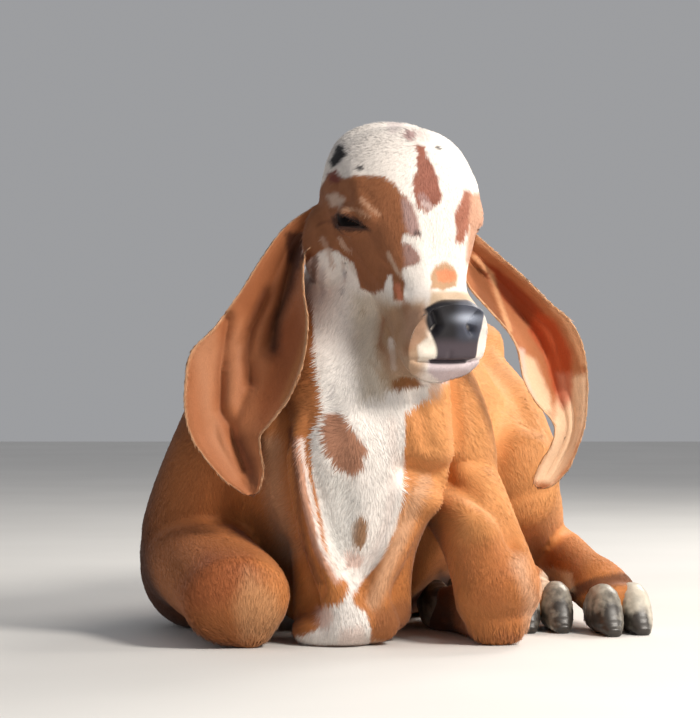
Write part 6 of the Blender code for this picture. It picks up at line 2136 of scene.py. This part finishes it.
# Putting the calf together


def feet() -> list[Foot]:
    """The four feet as they lie."""
    fore, hind = (True, Zone.FORE_LEGS), (False, Zone.HIND_LEGS)
    return [
        Foot("hind_left", Side.LEFT, (0.280, 0.125, 0.0), (0.20, -0.980, 0.0), 0.0172, 0.010, *hind),
        Foot("hind_right", Side.RIGHT, (0.199, 0.156, 0.0), (0.12, -0.993, 0.0), 0.0172, 0.004, *hind),
        Foot("fore_left", Side.LEFT, (0.106, 0.188, 0.050), (-0.20, 0.980, 0.0), 0.0165, 0.003, *fore),
        Foot("fore_right", Side.RIGHT, (-0.128, 0.172, 0.050), (-0.12, 0.993, 0.0), 0.0165, 0.003, *fore),
    ]


RIGHT_EAR = mm(
    ((-10, 26, 404), (-8, 46, 462), 12), ((-40, 6, 398), (-32, 40, 445), 22),
    ((-46, -12, 383), (-65, 30, 420), 30), ((-46, -22, 355), (-88, 25, 390), 36),
    ((-42, -26, 327), (-110, 20, 355), 40), ((-43, -26, 300), (-135, 15, 320), 38),
    ((-49, -24, 273), (-160, 10, 293), 32), ((-60, -20, 247), (-166, 5, 260), 26),
    ((-77, -16, 224), (-165, 0, 230), 20), ((-88, -12, 211), (-159, -2, 208), 16),
    ((-89, -10, 197), (-146, -4, 188), 13), ((-86, -10, 177), (-128, -6, 167), 10),
    ((-89, -10, 159), (-112, -8, 155), 5),
)
LEFT_EAR = mm(
    ((82, 88, 398), (80, 112, 452), 12), ((112, 80, 378), (124, 108, 420), 22),
    ((123, 70, 358), (154, 104, 394), 30), ((140, 64, 338), (182, 100, 369), 35),
    ((160, 63, 315), (208, 96, 343), 35), ((171, 64, 295), (227, 93, 326), 32),
    ((177, 66, 266), (240, 90, 300), 28), ((189, 70, 243), (245, 88, 266), 24),
    ((205, 74, 225), (244, 86, 233), 18), ((210, 76, 212), (240, 85, 210), 14),
    ((205, 78, 195), (233, 85, 190), 12), ((196, 80, 180), (223.5, 85, 170), 9),
    ((188.5, 81, 162), (209, 84, 156), 5),
)
RIGHT_GROOVES = mm(
    (((-124, 327), (-127, 305), (-132, 275), (-130, 235), (-120, 215), (-106, 175)), 9, 7),
    (((-84, 351), (-100, 315), (-104, 285), (-100, 263)), 9, 7),
    (((-52, 392), (-60, 360), (-74, 325), (-76, 298)), 15, 10),
)
LEFT_GROOVES = (
    (((0.144, 0.374), (0.1645, 0.3545), (0.19, 0.315), (0.208, 0.285), (0.216, 0.254)), 0.009, 0.009),
    (((0.13, 0.388), (0.144, 0.372), (0.151, 0.346), (0.1645, 0.315)), -0.004, 0.004),
)


def dress(frame: dict, pieces: list[tuple[bpy.types.Object, str, tuple]], shift: Vector) -> None:
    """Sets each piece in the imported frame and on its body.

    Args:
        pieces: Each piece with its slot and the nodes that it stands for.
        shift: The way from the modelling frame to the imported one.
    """
    for obj, slot, nodes in pieces:
        obj.data.transform(Matrix.Translation(shift))
        obj.data.update()
        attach(obj, "root")
        if nodes:
            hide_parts(*nodes)
        obj.data.calc_loop_triangles()
        log.info("%s: %d triangles", obj.name, len(obj.data.loop_triangles))


def main() -> None:
    """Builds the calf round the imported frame."""
    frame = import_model()
    head, tail, hoofs = Head(), Tail(), feet()
    eyes = {side: Eye(side, head).build() for side in Side}
    low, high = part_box("eye_left")
    modelled = coords(eyes[Side.LEFT])
    shift = (low + high) / 2 - Vector((modelled.min(axis=0) + modelled.max(axis=0)) / 2)
    log.info("shift %s", tuple(shift))

    ears = (Ear(Side.RIGHT, RIGHT_EAR, RIGHT_GROOVES), Ear(Side.LEFT, LEFT_EAR, LEFT_GROOVES))
    skin = Skin(Flesh(), head, ears, hoofs, tail)
    skin.build()
    markings = Markings(head)
    pelt = PeltFinish().build()
    tone = markings.skin(skin)
    paint(skin.obj, "pelt", tone)
    paint(skin.obj, "own", np.full(len(tone), 0.5))
    # The skin takes the roots' painted shade, as if deep between the tufts.
    paint(skin.obj, "reach", np.full(len(tone), 0.2))
    coat = Coat(skin).build(markings)
    for obj in (skin.obj, *coat):
        obj.data.materials.clear()
        obj.data.materials.append(pelt)

    fleshy = [n for n in frame["nodes"] if not n.startswith(("eye_", "claw_")) and n != "tail_switch"]
    pieces = [(skin.obj, "coat", tuple(fleshy))]
    pieces += [(obj, "coat", ()) for obj in coat]
    wet, horn = EyeFinish().build(), HornFinish().build()
    for side, obj in eyes.items():
        obj.data.materials.append(wet)
        pieces.append((obj, "eye", (f"eye_{side.word}",)))
    for foot in hoofs:
        obj = Hooves(foot).build()
        obj.data.materials.append(horn)
        pieces.append((obj, "horn", tuple(f"claw_{foot.name}_{which}" for which in ("inner", "outer"))))
    switch = Switch(tail).build()
    switch.data.materials.append(SwitchFinish().build())
    pieces.append((switch, "hair", ("tail_switch",)))
    dress(frame, pieces, shift)
    Studio(shift).build()


if __name__ == "__main__":
    logging.basicConfig(level=logging.INFO, format="%(name)s: %(message)s")
    main()
